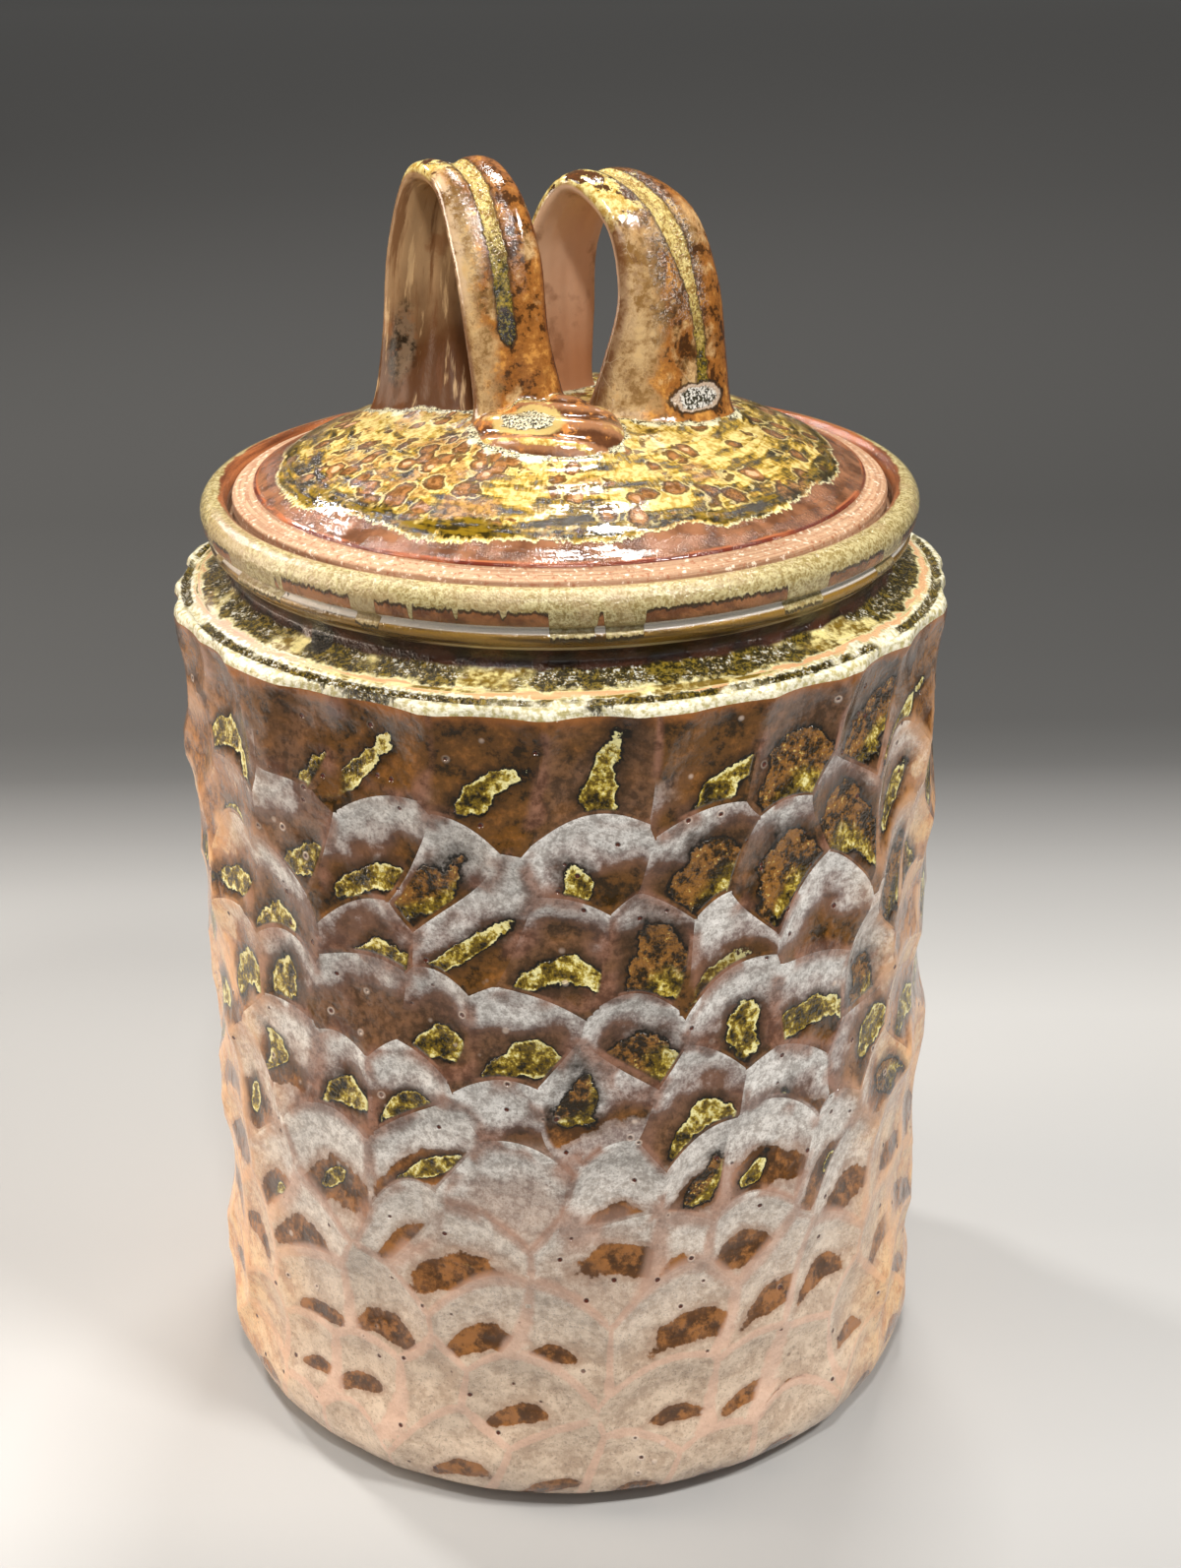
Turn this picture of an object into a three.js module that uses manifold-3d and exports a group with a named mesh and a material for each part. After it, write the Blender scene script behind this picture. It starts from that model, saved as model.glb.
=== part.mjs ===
// Lidded stoneware jar with a scooped wall, a drop-in lid and two pulled strap handles.
// Millimetres, +Z up, the jar's axis on Z, the table at z = 0, the photographed side toward -Y.
import * as THREE from "three";
import { mergeVertices } from "three/addons/utils/BufferGeometryUtils.js";
import Module from "manifold-3d";

const wasm = await Module();
wasm.setup();

// Jar body
const wallRadius = 76;
const wallThickness = 7;
const shoulderHeight = 171;
const footRadius = 62.5;
const footWidth = 6.5;
const footLift = 3.2;
const footRecess = 2.5;
const floorThickness = 6.5;
const baseRounding = 9;

// Neck, gallery and rolled rim
const neckRadius = 64.5;
const neckHeight = 15;
const flangeDrop = 3.7;
const galleryInset = 0.3;
const galleryDepth = 5.6;
const ledgeWidth = 6.7;
const rimRoll = 3.1;
const rimLip = 2.4;

// Lid
const lidSideGap = 0.9;
const lidSeatGap = 0.3;
const lidEdgeHeight = 5.6;
const bandWidth = 4.4;
const bandRise = 1.1;
const domeRise = 14.3;
const domePower = 2.5;
const lidThickness = 5.2;
const seatWidth = 8.4;

// Handles
const handleHeight = 45;
const strapThickness = 5.1;
const padLength = 29.6;
const padWidth = 21.6;
const padHeight = 5.2;
const jointGap = 0.3;

// Scoops cut in the wall, row by row
const scoopsPerRow = 25;
const scoopRows = 10;
const scoopPitch = 16.6;
const scoopWidth = 15;
const scoopTopLength = 13;
const scoopTailLength = 17;
const scoopDepth = 2.9;
const scoopArch = 0.55;
const scoopLean = 0.14;
const leanSpread = 0.5;
const widthSpread = 0.5;
const depthSpread = 0.5;
const sideScatter = 0.72;
const heightScatter = 0.62;
const topRowScatter = 0.16;

// Facets
const wallColumns = 100;
const wallRows = 22;
const turnedColumns = 54;
const lidColumns = 60;
const domeSteps = 10;
const strapSteps = 30;
const strapSides = 16;

// Levels and radii that follow from the sizes above
const ledgeHeight = shoulderHeight + neckHeight;
const galleryRadius = neckRadius - galleryInset;
const rimTop = ledgeHeight + galleryDepth;
const rimRadius = galleryRadius + rimLip;
const boreRadius = galleryRadius - ledgeWidth;
const insideRadius = wallRadius - wallThickness;
const floorHeight = footRecess + floorThickness;
const lidRadius = galleryRadius - lidSideGap;
const lidSeat = ledgeHeight + lidSeatGap;
const bandHeight = lidSeat + lidEdgeHeight;
const domeEdgeRadius = lidRadius - bandWidth;
const domeEdgeHeight = bandHeight + bandRise;
const crown = domeEdgeHeight + domeRise;

const glazeBrown = new THREE.MeshStandardMaterial({ color: 0x70492f, roughness: 0.25, metalness: 0 });
const glazeYellow = new THREE.MeshStandardMaterial({ color: 0xbfa452, roughness: 0.3, metalness: 0 });
const glazeAmber = new THREE.MeshStandardMaterial({ color: 0x96602f, roughness: 0.25, metalness: 0 });

// Solid helpers
function toSolid(geometry) {
  const bare = geometry.clone();
  bare.deleteAttribute("normal");
  bare.deleteAttribute("uv");
  const welded = mergeVertices(bare, 1e-4);
  return new wasm.Manifold(new wasm.Mesh({
    numProp: 3,
    vertProperties: new Float32Array(welded.attributes.position.array),
    triVerts: new Uint32Array(welded.index.array),
  }));
}

function toMesh(solid, material, name) {
  const mesh = solid.getMesh();
  const geometry = new THREE.BufferGeometry();
  geometry.setAttribute("position", new THREE.BufferAttribute(new Float32Array(mesh.vertProperties), 3));
  geometry.setIndex(new THREE.BufferAttribute(new Uint32Array(mesh.triVerts), 1));
  geometry.computeVertexNormals();
  const result = new THREE.Mesh(geometry, material);
  result.name = name;
  return result;
}

// Turns an outline of [radius, height] points, listed from the bottom of the axis to its top.
function turned(outline, columns) {
  const geometry = new THREE.LatheGeometry(outline.map(([r, z]) => new THREE.Vector2(r, z)), columns);
  geometry.rotateX(Math.PI / 2);
  return geometry;
}

function turnedSolid(outline, columns) {
  return toSolid(turned(outline, columns));
}

function smooth(points, steps) {
  const curve = new THREE.CatmullRomCurve3(points.map((p) => new THREE.Vector3(...p)), false, "centripetal");
  return curve.getPoints(steps);
}

// A repeatable value from -0.5 to 0.5 for scoop i of row j
function jitter(i, j, k) {
  const s = Math.sin(i * 12.9898 + j * 78.233 + k * 37.719) * 43758.5453;
  return s - Math.floor(s) - 0.5;
}

// How deep the wall is cut at an angle and height. Each scoop is a shallow bowl whose upper edge
// arches and whose tail is longer than its top, and the deepest cut wins.
function scoopAt(angle, height) {
  const turns = angle / (2 * Math.PI);
  const spacing = 2 * Math.PI * wallRadius / scoopsPerRow;
  const firstCentre = shoulderHeight - scoopPitch / 2;
  const nearRow = Math.round((firstCentre - height) / scoopPitch);
  let deepest = 0;
  for (let row = Math.max(0, nearRow - 2); row <= Math.min(scoopRows - 1, nearRow + 2); row += 1) {
    const shift = 0.5 * (row % 2) + 0.31 * row;
    const nearColumn = Math.round(turns * scoopsPerRow - shift);
    for (let column = nearColumn - 2; column <= nearColumn + 2; column += 1) {
      const i = ((column % scoopsPerRow) + scoopsPerRow) % scoopsPerRow;
      const across = (turns * scoopsPerRow - shift - column - sideScatter * jitter(i, row, 1)) * spacing;
      const wander = (row === 0 ? topRowScatter : heightScatter) * scoopPitch * jitter(i, row, 2);
      const lean = scoopLean + leanSpread * jitter(i, row, 4);
      const rise = height - (firstCentre - scoopPitch * row + wander) - lean * across;
      const u = across / (scoopWidth * (1 + widthSpread * jitter(i, row, 3)));
      const v = rise / (rise > 0 ? scoopTopLength : scoopTailLength) + scoopArch * u * u;
      const depth = scoopDepth * (1 + depthSpread * jitter(i, row, 5)) * (1 - u * u - v * v);
      deepest = Math.max(deepest, depth);
    }
  }
  return deepest;
}

// Radius of the wall before it is scooped: a slight waist, and a tuck toward the foot
function wallEnvelope(height) {
  const share = Math.min(1, Math.max(0, height / shoulderHeight));
  const tuck = Math.max(0, 14 - height) / baseRounding;
  return wallRadius + 0.6 - 0.4 * Math.sin(Math.PI * share) - 2.6 * tuck * tuck;
}

// Rows of [radius, height, share of the scoops' depth], from the underside to the shoulder
function wallOutline() {
  const lowest = footLift + 1.2;
  const rows = [[0, footLift, 0], [footRadius + 0.4, footLift, 0], [wallRadius - 6, footLift + 0.2, 0.1]];
  for (let row = 0; row <= wallRows; row += 1) {
    const height = lowest + (shoulderHeight - lowest) * row / wallRows;
    rows.push([wallEnvelope(height), height, Math.min(1, 0.2 + row / 3)]);
  }
  rows.push([wallRadius - 0.3, shoulderHeight + 1.2, 0.7]);
  rows.push([wallRadius - 1.2, shoulderHeight + 1.9, 0.25]);
  rows.push([wallRadius - 2.2, shoulderHeight + 1.5, 0]);
  rows.push([wallRadius - 3.2, shoulderHeight + 2.2, 0]);
  rows.push([neckRadius + 2, shoulderHeight + 4.6, 0]);
  rows.push([0, shoulderHeight + 4.6, 0]);
  return rows;
}

function scoopedWall() {
  const rows = wallOutline();
  const geometry = turned(rows, wallColumns);
  const position = geometry.attributes.position;
  for (let index = 0; index < position.count; index += 1) {
    const [radius, height, share] = rows[index % rows.length];
    if (share > 0) {
      const turn = Math.atan2(position.getY(index), position.getX(index));
      const angle = (turn + 2 * Math.PI) % (2 * Math.PI);
      const cut = radius - share * scoopAt(angle, Math.min(height, shoulderHeight));
      position.setX(index, cut * Math.cos(angle));
      position.setY(index, cut * Math.sin(angle));
    }
  }
  return toSolid(geometry);
}

// Neck, flange with its throwing groove, and the rolled rim round the lid's gallery
function neckOutline() {
  const flange = ledgeHeight - flangeDrop;
  const outline = [
    [0, shoulderHeight + 2],
    [neckRadius + 2.7, shoulderHeight + 2],
    [neckRadius + 2.2, shoulderHeight + 4.8],
    [neckRadius + 0.5, shoulderHeight + 5.8],
    [neckRadius, shoulderHeight + 7],
    [neckRadius + 1.5, flange - 1.9],
    [rimRadius + 1.3, flange - 0.1],
    [rimRadius + 1.5, flange + 1],
    [rimRadius + 0.8, flange + 2.1],
  ];
  for (let step = 0; step <= 6; step += 1) {
    const angle = THREE.MathUtils.degToRad(-40 + 160 * step / 6);
    outline.push([rimRadius + rimRoll * Math.cos(angle), rimTop - rimRoll * (1 - Math.sin(angle))]);
  }
  outline.push([galleryRadius, rimTop - 2.6]);
  outline.push([galleryRadius, ledgeHeight]);
  outline.push([0, ledgeHeight]);
  return outline;
}

function insideOutline() {
  const mouth = ledgeHeight + 1;
  return [
    [0, floorHeight],
    [insideRadius - 15, floorHeight],
    [insideRadius - 3.2, floorHeight + 3.4],
    [insideRadius, floorHeight + 11],
    [insideRadius, shoulderHeight - 12],
    [insideRadius - 3, shoulderHeight - 5.5],
    [boreRadius, shoulderHeight + 0.5],
    [boreRadius, mouth],
    [0, mouth],
  ];
}

function buildBody() {
  const footTop = footLift + 1.3;
  const foot = [[0, 0], [footRadius - 0.8, 0], [footRadius, 0.8], [footRadius, footTop], [0, footTop]];
  const footInside = footRadius - footWidth;
  const recess = [[0, -1], [footInside, -1], [footInside - 1, footRecess], [0, footRecess]];
  return scoopedWall()
    .add(turnedSolid(foot, turnedColumns))
    .add(turnedSolid(neckOutline(), turnedColumns))
    .subtract(turnedSolid(insideOutline(), turnedColumns))
    .subtract(turnedSolid(recess, turnedColumns));
}

// Lid
function domeHeight(radius) {
  return domeEdgeHeight + domeRise * (1 - Math.pow(radius / domeEdgeRadius, domePower));
}

// The lid's top from its rim to the crown, raised by a clearance
function lidTop(raise) {
  const outline = [[lidRadius, bandHeight + raise]];
  for (let step = 0; step <= domeSteps; step += 1) {
    const radius = domeEdgeRadius * (1 - step / domeSteps);
    outline.push([radius, domeHeight(radius) + raise]);
  }
  return outline;
}

function buildLid() {
  const seatInside = lidRadius - seatWidth;
  const outline = [];
  for (let step = 0; step <= domeSteps; step += 1) {
    const radius = (seatInside - 1.9) * step / domeSteps;
    outline.push([radius, domeHeight(radius) - lidThickness]);
  }
  outline.push([seatInside - 1, lidSeat + 1.2]);
  outline.push([seatInside, lidSeat]);
  outline.push([lidRadius - 0.8, lidSeat]);
  outline.push([lidRadius, lidSeat + 0.8]);
  return turnedSolid(outline.concat(lidTop(0)), lidColumns);
}

// All that lies under the lid's top, used to fit the handles' feet to the dome
function domeBlock() {
  const outline = [[0, floorHeight], [lidRadius, floorHeight]].concat(lidTop(jointGap));
  return turnedSolid(outline, lidColumns);
}

// A handle is one strap of clay. Each station gives the strap's two edges as shares of the handle's
// height, out from the crown. It gives the thickness, how far the middle bows outward and how deep
// the thumb groove is as shares of the strap's thickness.
function strap(stations) {
  const place = ([x, y, z]) => [x * handleHeight, y * handleHeight, crown + z * handleHeight];
  const left = smooth(stations.map((s) => place(s.left)), strapSteps);
  const right = smooth(stations.map((s) => place(s.right)), strapSteps);
  const form = smooth(stations.map((s) => [s.thick, s.bow, s.groove]), strapSteps);
  const centre = left.map((point, i) => point.clone().add(right[i]).multiplyScalar(0.5));
  const points = [];
  for (let i = 0; i <= strapSteps; i += 1) {
    const across = right[i].clone().sub(left[i]).multiplyScalar(0.5);
    const along = centre[Math.min(i + 1, strapSteps)].clone().sub(centre[Math.max(i - 1, 0)]);
    const outward = along.clone().cross(across).normalize();
    const [thick, bow, groove] = form[i].multiplyScalar(strapThickness).toArray();
    for (let k = 0; k < strapSides; k += 1) {
      const angle = 2 * Math.PI * k / strapSides;
      const side = Math.cos(angle);
      const face = Math.sign(Math.sin(angle)) * Math.pow(Math.abs(Math.sin(angle)), 0.7);
      const dip = groove * Math.exp(-Math.pow(side / 0.3, 2)) * (face > 0 ? 1 : 0.45);
      const lift = bow * (1 - side * side) + face * (thick / 2 - dip);
      points.push(centre[i].clone().addScaledVector(across, side).addScaledVector(outward, lift));
    }
  }
  const faces = [];
  for (let i = 0; i < strapSteps; i += 1) {
    for (let k = 0; k < strapSides; k += 1) {
      const a = i * strapSides + k;
      const b = i * strapSides + (k + 1) % strapSides;
      faces.push(a, b, b + strapSides, a, b + strapSides, a + strapSides);
    }
  }
  for (const ring of [0, strapSteps]) {
    const middle = points.length;
    points.push(centre[ring].clone());
    for (let k = 0; k < strapSides; k += 1) {
      const a = ring * strapSides + k;
      const b = ring * strapSides + (k + 1) % strapSides;
      faces.push(...(ring > 0 ? [a, b, middle] : [b, a, middle]));
    }
  }
  const geometry = new THREE.BufferGeometry();
  const numbers = new Float32Array(points.flatMap((point) => point.toArray()));
  geometry.setAttribute("position", new THREE.BufferAttribute(numbers, 3));
  geometry.setIndex(faces);
  return toSolid(geometry);
}

// Left handle: back foot, over the top, down to the front foot, whose clay is thumbed out in a pad
function buildLeftHandle() {
  const loop = strap([
    { left: [-0.844, 0.189, -0.3], right: [-0.3, -0.3, -0.25], thick: 2.3, bow: 0.24, groove: 0.04 },
    { left: [-0.791, 0.213, -0.07], right: [-0.333, -0.16, 0], thick: 1.45, bow: 0.14, groove: 0.1 },
    { left: [-0.751, 0.244, 0.24], right: [-0.342, 0.044, 0.26], thick: 1, bow: 0.08, groove: 0.18 },
    { left: [-0.716, 0.244, 0.61], right: [-0.324, 0.156, 0.62], thick: 1, bow: 0.04, groove: 0.2 },
    { left: [-0.622, 0.133, 0.92], right: [-0.267, 0.133, 0.95], thick: 1, bow: -0.04, groove: 0.31 },
    { left: [-0.502, -0.089, 0.91], right: [-0.151, -0.067, 0.88], thick: 1, bow: 0, groove: 0.29 },
    { left: [-0.431, -0.222, 0.67], right: [-0.067, -0.2, 0.66], thick: 1, bow: 0.16, groove: 0.2 },
    { left: [-0.382, -0.3, 0.35], right: [-0.036, -0.267, 0.34], thick: 1, bow: 0.2, groove: 0.16 },
    { left: [-0.351, -0.322, 0.04], right: [0.027, -0.256, 0.04], thick: 1.15, bow: 0.2, groove: 0.08 },
    { left: [-0.356, -0.356, -0.25], right: [0.076, -0.267, -0.25], thick: 1.5, bow: 0.2, groove: 0 },
  ]);
  const pad = new THREE.SphereGeometry(1, 20, 12);
  pad.scale(padLength / 2, padWidth / 2, padHeight);
  pad.rotateX(THREE.MathUtils.degToRad(8));
  pad.rotateZ(THREE.MathUtils.degToRad(-24));
  const padX = -0.05 * handleHeight;
  const padY = -0.502 * handleHeight;
  pad.translate(padX, padY, domeHeight(Math.hypot(padX, padY)) - 0.35 * padHeight);
  return loop.add(toSolid(pad)).subtract(domeBlock());
}

// Right handle: back foot, over the top, down to the broad front foot
function buildRightHandle() {
  const loop = strap([
    { left: [-0.133, -0.022, -0.25], right: [0.133, 0.178, -0.25], thick: 1.5, bow: 0.06, groove: 0.04 },
    { left: [-0.107, 0.044, 0], right: [0.133, 0.2, 0], thick: 1.2, bow: 0.06, groove: 0.1 },
    { left: [-0.116, 0.078, 0.33], right: [0.151, 0.244, 0.3], thick: 1, bow: 0.04, groove: 0.16 },
    { left: [-0.111, 0.067, 0.68], right: [0.178, 0.267, 0.64], thick: 1, bow: 0.04, groove: 0.2 },
    { left: [0.036, -0.078, 0.91], right: [0.311, 0.189, 0.88], thick: 1, bow: 0.04, groove: 0.22 },
    { left: [0.2, -0.222, 0.78], right: [0.551, 0.089, 0.78], thick: 1, bow: 0.16, groove: 0.22 },
    { left: [0.251, -0.289, 0.49], right: [0.667, 0.022, 0.5], thick: 1, bow: 0.31, groove: 0.2 },
    { left: [0.189, -0.289, 0.23], right: [0.707, 0.011, 0.19], thick: 1, bow: 0.59, groove: 0.16 },
    { left: [0.122, -0.256, 0], right: [0.733, 0.011, -0.07], thick: 1.35, bow: 1.06, groove: 0.06 },
    { left: [0.089, -0.262, -0.27], right: [0.767, 0, -0.32], thick: 2.3, bow: 1.49, groove: 0 },
  ]);
  return loop.subtract(domeBlock());
}

const jar = new THREE.Group();
jar.name = "lidded_scooped_jar";
jar.add(toMesh(buildBody(), glazeBrown, "jar_body"));
jar.add(toMesh(buildLid(), glazeYellow, "lid"));
jar.add(toMesh(buildLeftHandle(), glazeAmber, "left_strap_handle"));
jar.add(toMesh(buildRightHandle(), glazeAmber, "right_strap_handle"));

export default jar;
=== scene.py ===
from math import cos, exp, floor, hypot, pi, radians, sin

import bpy
from mathutils import Matrix, Vector, kdtree


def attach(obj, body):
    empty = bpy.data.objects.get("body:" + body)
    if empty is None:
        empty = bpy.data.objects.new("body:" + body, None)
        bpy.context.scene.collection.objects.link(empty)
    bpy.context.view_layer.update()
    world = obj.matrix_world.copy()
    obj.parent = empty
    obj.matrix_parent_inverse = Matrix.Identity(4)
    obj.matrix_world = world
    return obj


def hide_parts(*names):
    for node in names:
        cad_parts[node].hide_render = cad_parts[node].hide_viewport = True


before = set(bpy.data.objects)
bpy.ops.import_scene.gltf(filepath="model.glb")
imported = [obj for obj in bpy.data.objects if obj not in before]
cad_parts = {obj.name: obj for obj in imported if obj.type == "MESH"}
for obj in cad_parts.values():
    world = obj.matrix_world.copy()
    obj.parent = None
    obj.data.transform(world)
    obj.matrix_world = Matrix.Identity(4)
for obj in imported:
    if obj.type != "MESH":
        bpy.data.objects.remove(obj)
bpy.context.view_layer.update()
mm = 0.001

# The camera stands where the photographer's did: in front of the jar, above its lid and
# looking down at it, leaning very slightly. The lens is given in rows of the photograph's pixels.
camera_place = Vector((0, -444.5 * mm, 322.5 * mm))
camera_pitch = radians(23.84)
camera_yaw = radians(-0.69)
camera_roll = radians(-0.57)
film_height = 36
photo_rows = 1593
lens_in_rows = 2400

camera_data = bpy.data.cameras.new("camera")
camera_data.sensor_fit = "VERTICAL"
camera_data.sensor_height = film_height
camera_data.lens = film_height * lens_in_rows / photo_rows
camera = bpy.data.objects.new("camera", camera_data)
bpy.context.scene.collection.objects.link(camera)
camera_turn = Matrix.Rotation(camera_yaw, 3, "Z") @ Matrix.Rotation(pi / 2 - camera_pitch, 3, "X")
camera_turn = camera_turn @ Matrix.Rotation(camera_roll, 3, "Z")
camera.matrix_world = Matrix.Translation(camera_place) @ camera_turn.to_4x4()
bpy.context.scene.camera = camera

# The jar body is thrown stoneware: a straight wall with a narrower foot, a gently rising
# shoulder, a short neck and a rolled rim round the gallery that seats the lid. It is glazed
# inside and out, apart from the foot and the ledge on which the lid sits.
wall_radius = 76 * mm
wall_thickness = 7 * mm
wall_swell = 0.3 * mm
wall_waist = 0.35 * mm
wall_bottom = 5.4 * mm
tuck_height = 14 * mm
tuck_span = 9 * mm
tuck_depth = 2.6 * mm
shoulder_height = 171 * mm
floor_top = 9 * mm
foot_radius = 62.5 * mm
foot_lift = 3.2 * mm
recess_radius = 55.5 * mm
recess_height = 2.5 * mm
neck_radius = 64.5 * mm
gallery_radius = 64.2 * mm
bore_radius = 57.5 * mm
ledge_height = 186 * mm
rim_radius = 66.6 * mm
rim_roll = 3.1 * mm
rim_top = 191.6 * mm
body_columns = 416
wall_row = 1.05 * mm
scooped_from = 4.4 * mm
scoops_full_by = 22.7 * mm
least_scoop_share = 0.2
shoulder_edge = 2.2 * mm


def soft_outline(corners, step):
    """The points of a turned outline whose corners, given as (radius, height, rounding), are rounded."""
    points = [Vector(corners[0][:2])]
    for before, corner, after in zip(corners, corners[1:], corners[2:]):
        here = Vector(corner[:2])
        back = Vector(before[:2]) - here
        ahead = Vector(after[:2]) - here
        reach = min(corner[2], 0.49 * back.length, 0.49 * ahead.length)
        start = here + back.normalized() * reach
        end = here + ahead.normalized() * reach
        count = max(2, int(2 * reach / step) + 2)
        for k in range(count + 1):
            t = k / count
            points.append(start * (1 - t) ** 2 + here * 2 * t * (1 - t) + end * t * t)
    points.append(Vector(corners[-1][:2]))
    filled = [points[0]]
    for point in points[1:]:
        gap = (point - filled[-1]).length
        if gap < 1e-6:
            continue
        for k in range(1, int(gap / (2.2 * step)) + 1):
            filled.append(filled[-1] + (point - filled[-1]) * (1 / (int(gap / (2.2 * step)) + 2 - k)))
        filled.append(point)
    return filled


def turned_mesh(name, outline, columns):
    """A closed mesh turned about Z from an outline that starts and ends on the axis. Each ring has
    its own number of columns, the same as its neighbour's, or half or twice that."""
    points = [(0, 0, outline[0][1])]
    starts = [0]
    for (radius, height), count in zip(outline[1:-1], columns[1:-1]):
        starts.append(len(points))
        angles = [2 * pi * k / count for k in range(count)]
        points += [(radius * cos(angle), radius * sin(angle), height) for angle in angles]
    starts.append(len(points))
    points.append((0, 0, outline[-1][1]))
    faces = []
    band_of_face = []
    for band in range(len(outline) - 1):
        low = [starts[band] + k for k in range(columns[band])] + [starts[band]]
        high = [starts[band + 1] + k for k in range(columns[band + 1])] + [starts[band + 1]]
        if band == 0:
            made = [(low[0], high[k + 1], high[k]) for k in range(columns[1])]
        elif band == len(outline) - 2:
            made = [(low[k], low[k + 1], high[0]) for k in range(columns[band])]
        elif len(low) == len(high):
            made = [(low[k], low[k + 1], high[k + 1], high[k]) for k in range(columns[band])]
        elif len(low) > len(high):
            made = []
            for k in range(columns[band + 1]):
                a, b, c = low[2 * k:2 * k + 3]
                made += [(a, b, high[k]), (b, c, high[k + 1]), (b, high[k + 1], high[k])]
        else:
            made = []
            for k in range(columns[band]):
                a, b, c = high[2 * k:2 * k + 3]
                made += [(low[k], b, a), (low[k + 1], c, b), (low[k], low[k + 1], b)]
        faces += made
        band_of_face += [band] * len(made)
    mesh = bpy.data.meshes.new(name)
    mesh.from_pydata(points, [], faces)
    mesh.polygons.foreach_set("use_smooth", [True] * len(faces))
    return mesh, band_of_face


def new_piece(name, mesh):
    """Puts a mesh in the scene as an object."""
    piece = bpy.data.objects.new(name, mesh)
    bpy.context.scene.collection.objects.link(piece)
    return piece


def wall_envelope(height):
    """The wall's radius before it is scooped: a slight waist, and a tuck toward the foot."""
    share = min(1, max(0, height / shoulder_height))
    tuck = max(0, tuck_height - height) / tuck_span
    return wall_radius + wall_swell - wall_waist * sin(pi * share) - tuck_depth * tuck * tuck


underside = soft_outline([
    (0, recess_height, 0), (recess_radius, recess_height, 0.8 * mm),
    (recess_radius + 0.8 * mm, 0, 0.9 * mm),
    (foot_radius, 0, 0.9 * mm), (foot_radius, foot_lift, 0.5 * mm),
    (wall_radius - 5 * mm, foot_lift + 0.2 * mm, 3 * mm), (wall_envelope(scooped_from), 4.6 * mm, 0),
], 2 * mm)
wall_height = shoulder_height - wall_bottom
wall_rows = int(wall_height / wall_row)
wall_heights = [wall_bottom + wall_height * k / wall_rows for k in range(wall_rows + 1)]
wall = [Vector((wall_envelope(height), height)) for height in wall_heights]
shoulder_and_rim = soft_outline([
    (wall_radius + 0.32 * mm, shoulder_height + 0.3 * mm, 0),
    (wall_radius - 0.1 * mm, shoulder_height + 2 * mm, 1.3 * mm),
    (wall_radius - 1.9 * mm, shoulder_height + 2.3 * mm, 0.7 * mm),
    (wall_radius - 2.6 * mm, shoulder_height + 1.5 * mm, 0.5 * mm),
    (wall_radius - 3.4 * mm, shoulder_height + 2.6 * mm, 0.8 * mm),
    (neck_radius + 4 * mm, shoulder_height + 4 * mm, 2 * mm),
    (neck_radius + 0.8 * mm, shoulder_height + 5 * mm, 1.6 * mm),
    (neck_radius - 0.1 * mm, shoulder_height + 7.2 * mm, 1.5 * mm),
    (neck_radius + 1.3 * mm, shoulder_height + 9.2 * mm, 1 * mm),
    (rim_radius + 1.5 * mm, ledge_height - 3.7 * mm, 1.1 * mm),
    (rim_radius + 1.7 * mm, ledge_height - 2.5 * mm, 0.6 * mm),
    (rim_radius + 0.5 * mm, ledge_height - 1.5 * mm, 0.5 * mm),
    (rim_radius + 2.4 * mm, ledge_height - 0.4 * mm, 0.7 * mm),
    (rim_radius + rim_roll + 0.1 * mm, rim_top - 2.6 * mm, 2.2 * mm),
    (rim_radius + 1.7 * mm, rim_top, 2 * mm),
    (rim_radius - 1.6 * mm, rim_top + 0.1 * mm, 1.4 * mm),
    (gallery_radius, rim_top - 2.4 * mm, 1.2 * mm),
    (gallery_radius, ledge_height, 0.5 * mm),
    (bore_radius, ledge_height, 0.6 * mm),
    (bore_radius, shoulder_height + 0.5 * mm, 2 * mm),
    (wall_radius - wall_thickness - 3 * mm, shoulder_height - 5.5 * mm, 4 * mm),
    (wall_radius - wall_thickness, shoulder_height - 14 * mm, 5 * mm),
], 1.1 * mm)
inside = soft_outline([
    (wall_radius - wall_thickness, shoulder_height - 15 * mm, 0),
    (wall_radius - wall_thickness, 20 * mm, 6 * mm),
    (wall_radius - wall_thickness - 4 * mm, 11.5 * mm, 4 * mm),
    (wall_radius - wall_thickness - 15 * mm, floor_top, 6 * mm),
    (0, floor_top, 0),
], 5 * mm)
body_outline = underside + wall + shoulder_and_rim + inside

# The scooped wall has twice the columns of the rest, and the inside a quarter of the wall's
wall_start = len(underside) - 4
wall_end = len(underside) + len(wall) + 10
inside_start = len(body_outline) - len(inside)
ring_columns = [body_columns // 2] * wall_start + [body_columns] * (wall_end - wall_start)
ring_columns += [body_columns // 2] * (inside_start - wall_end) + [body_columns // 4] * len(inside)
ring_columns[0] = ring_columns[-1] = 1
body_mesh, band_of_face = turned_mesh("turned_body", body_outline, ring_columns)

# The scoops grow shallow toward the foot, and end over the shoulder's edge
scoop_share = []
for ring, ((radius, height), count) in enumerate(zip(body_outline, ring_columns)):
    if not wall_start < ring < wall_end - 1:
        share = 0
    elif height < shoulder_height:
        share = min(1, least_scoop_share + max(0, height - scooped_from) / scoops_full_by)
    else:
        share = max(0, 1 - (wall_radius + wall_swell - radius) / shoulder_edge)
    scoop_share += [share] * count
attribute = body_mesh.attributes.new("scoop_share", "FLOAT", "POINT")
attribute.data.foreach_set("value", scoop_share)
turned_body = new_piece("turned_body", body_mesh)

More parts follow.
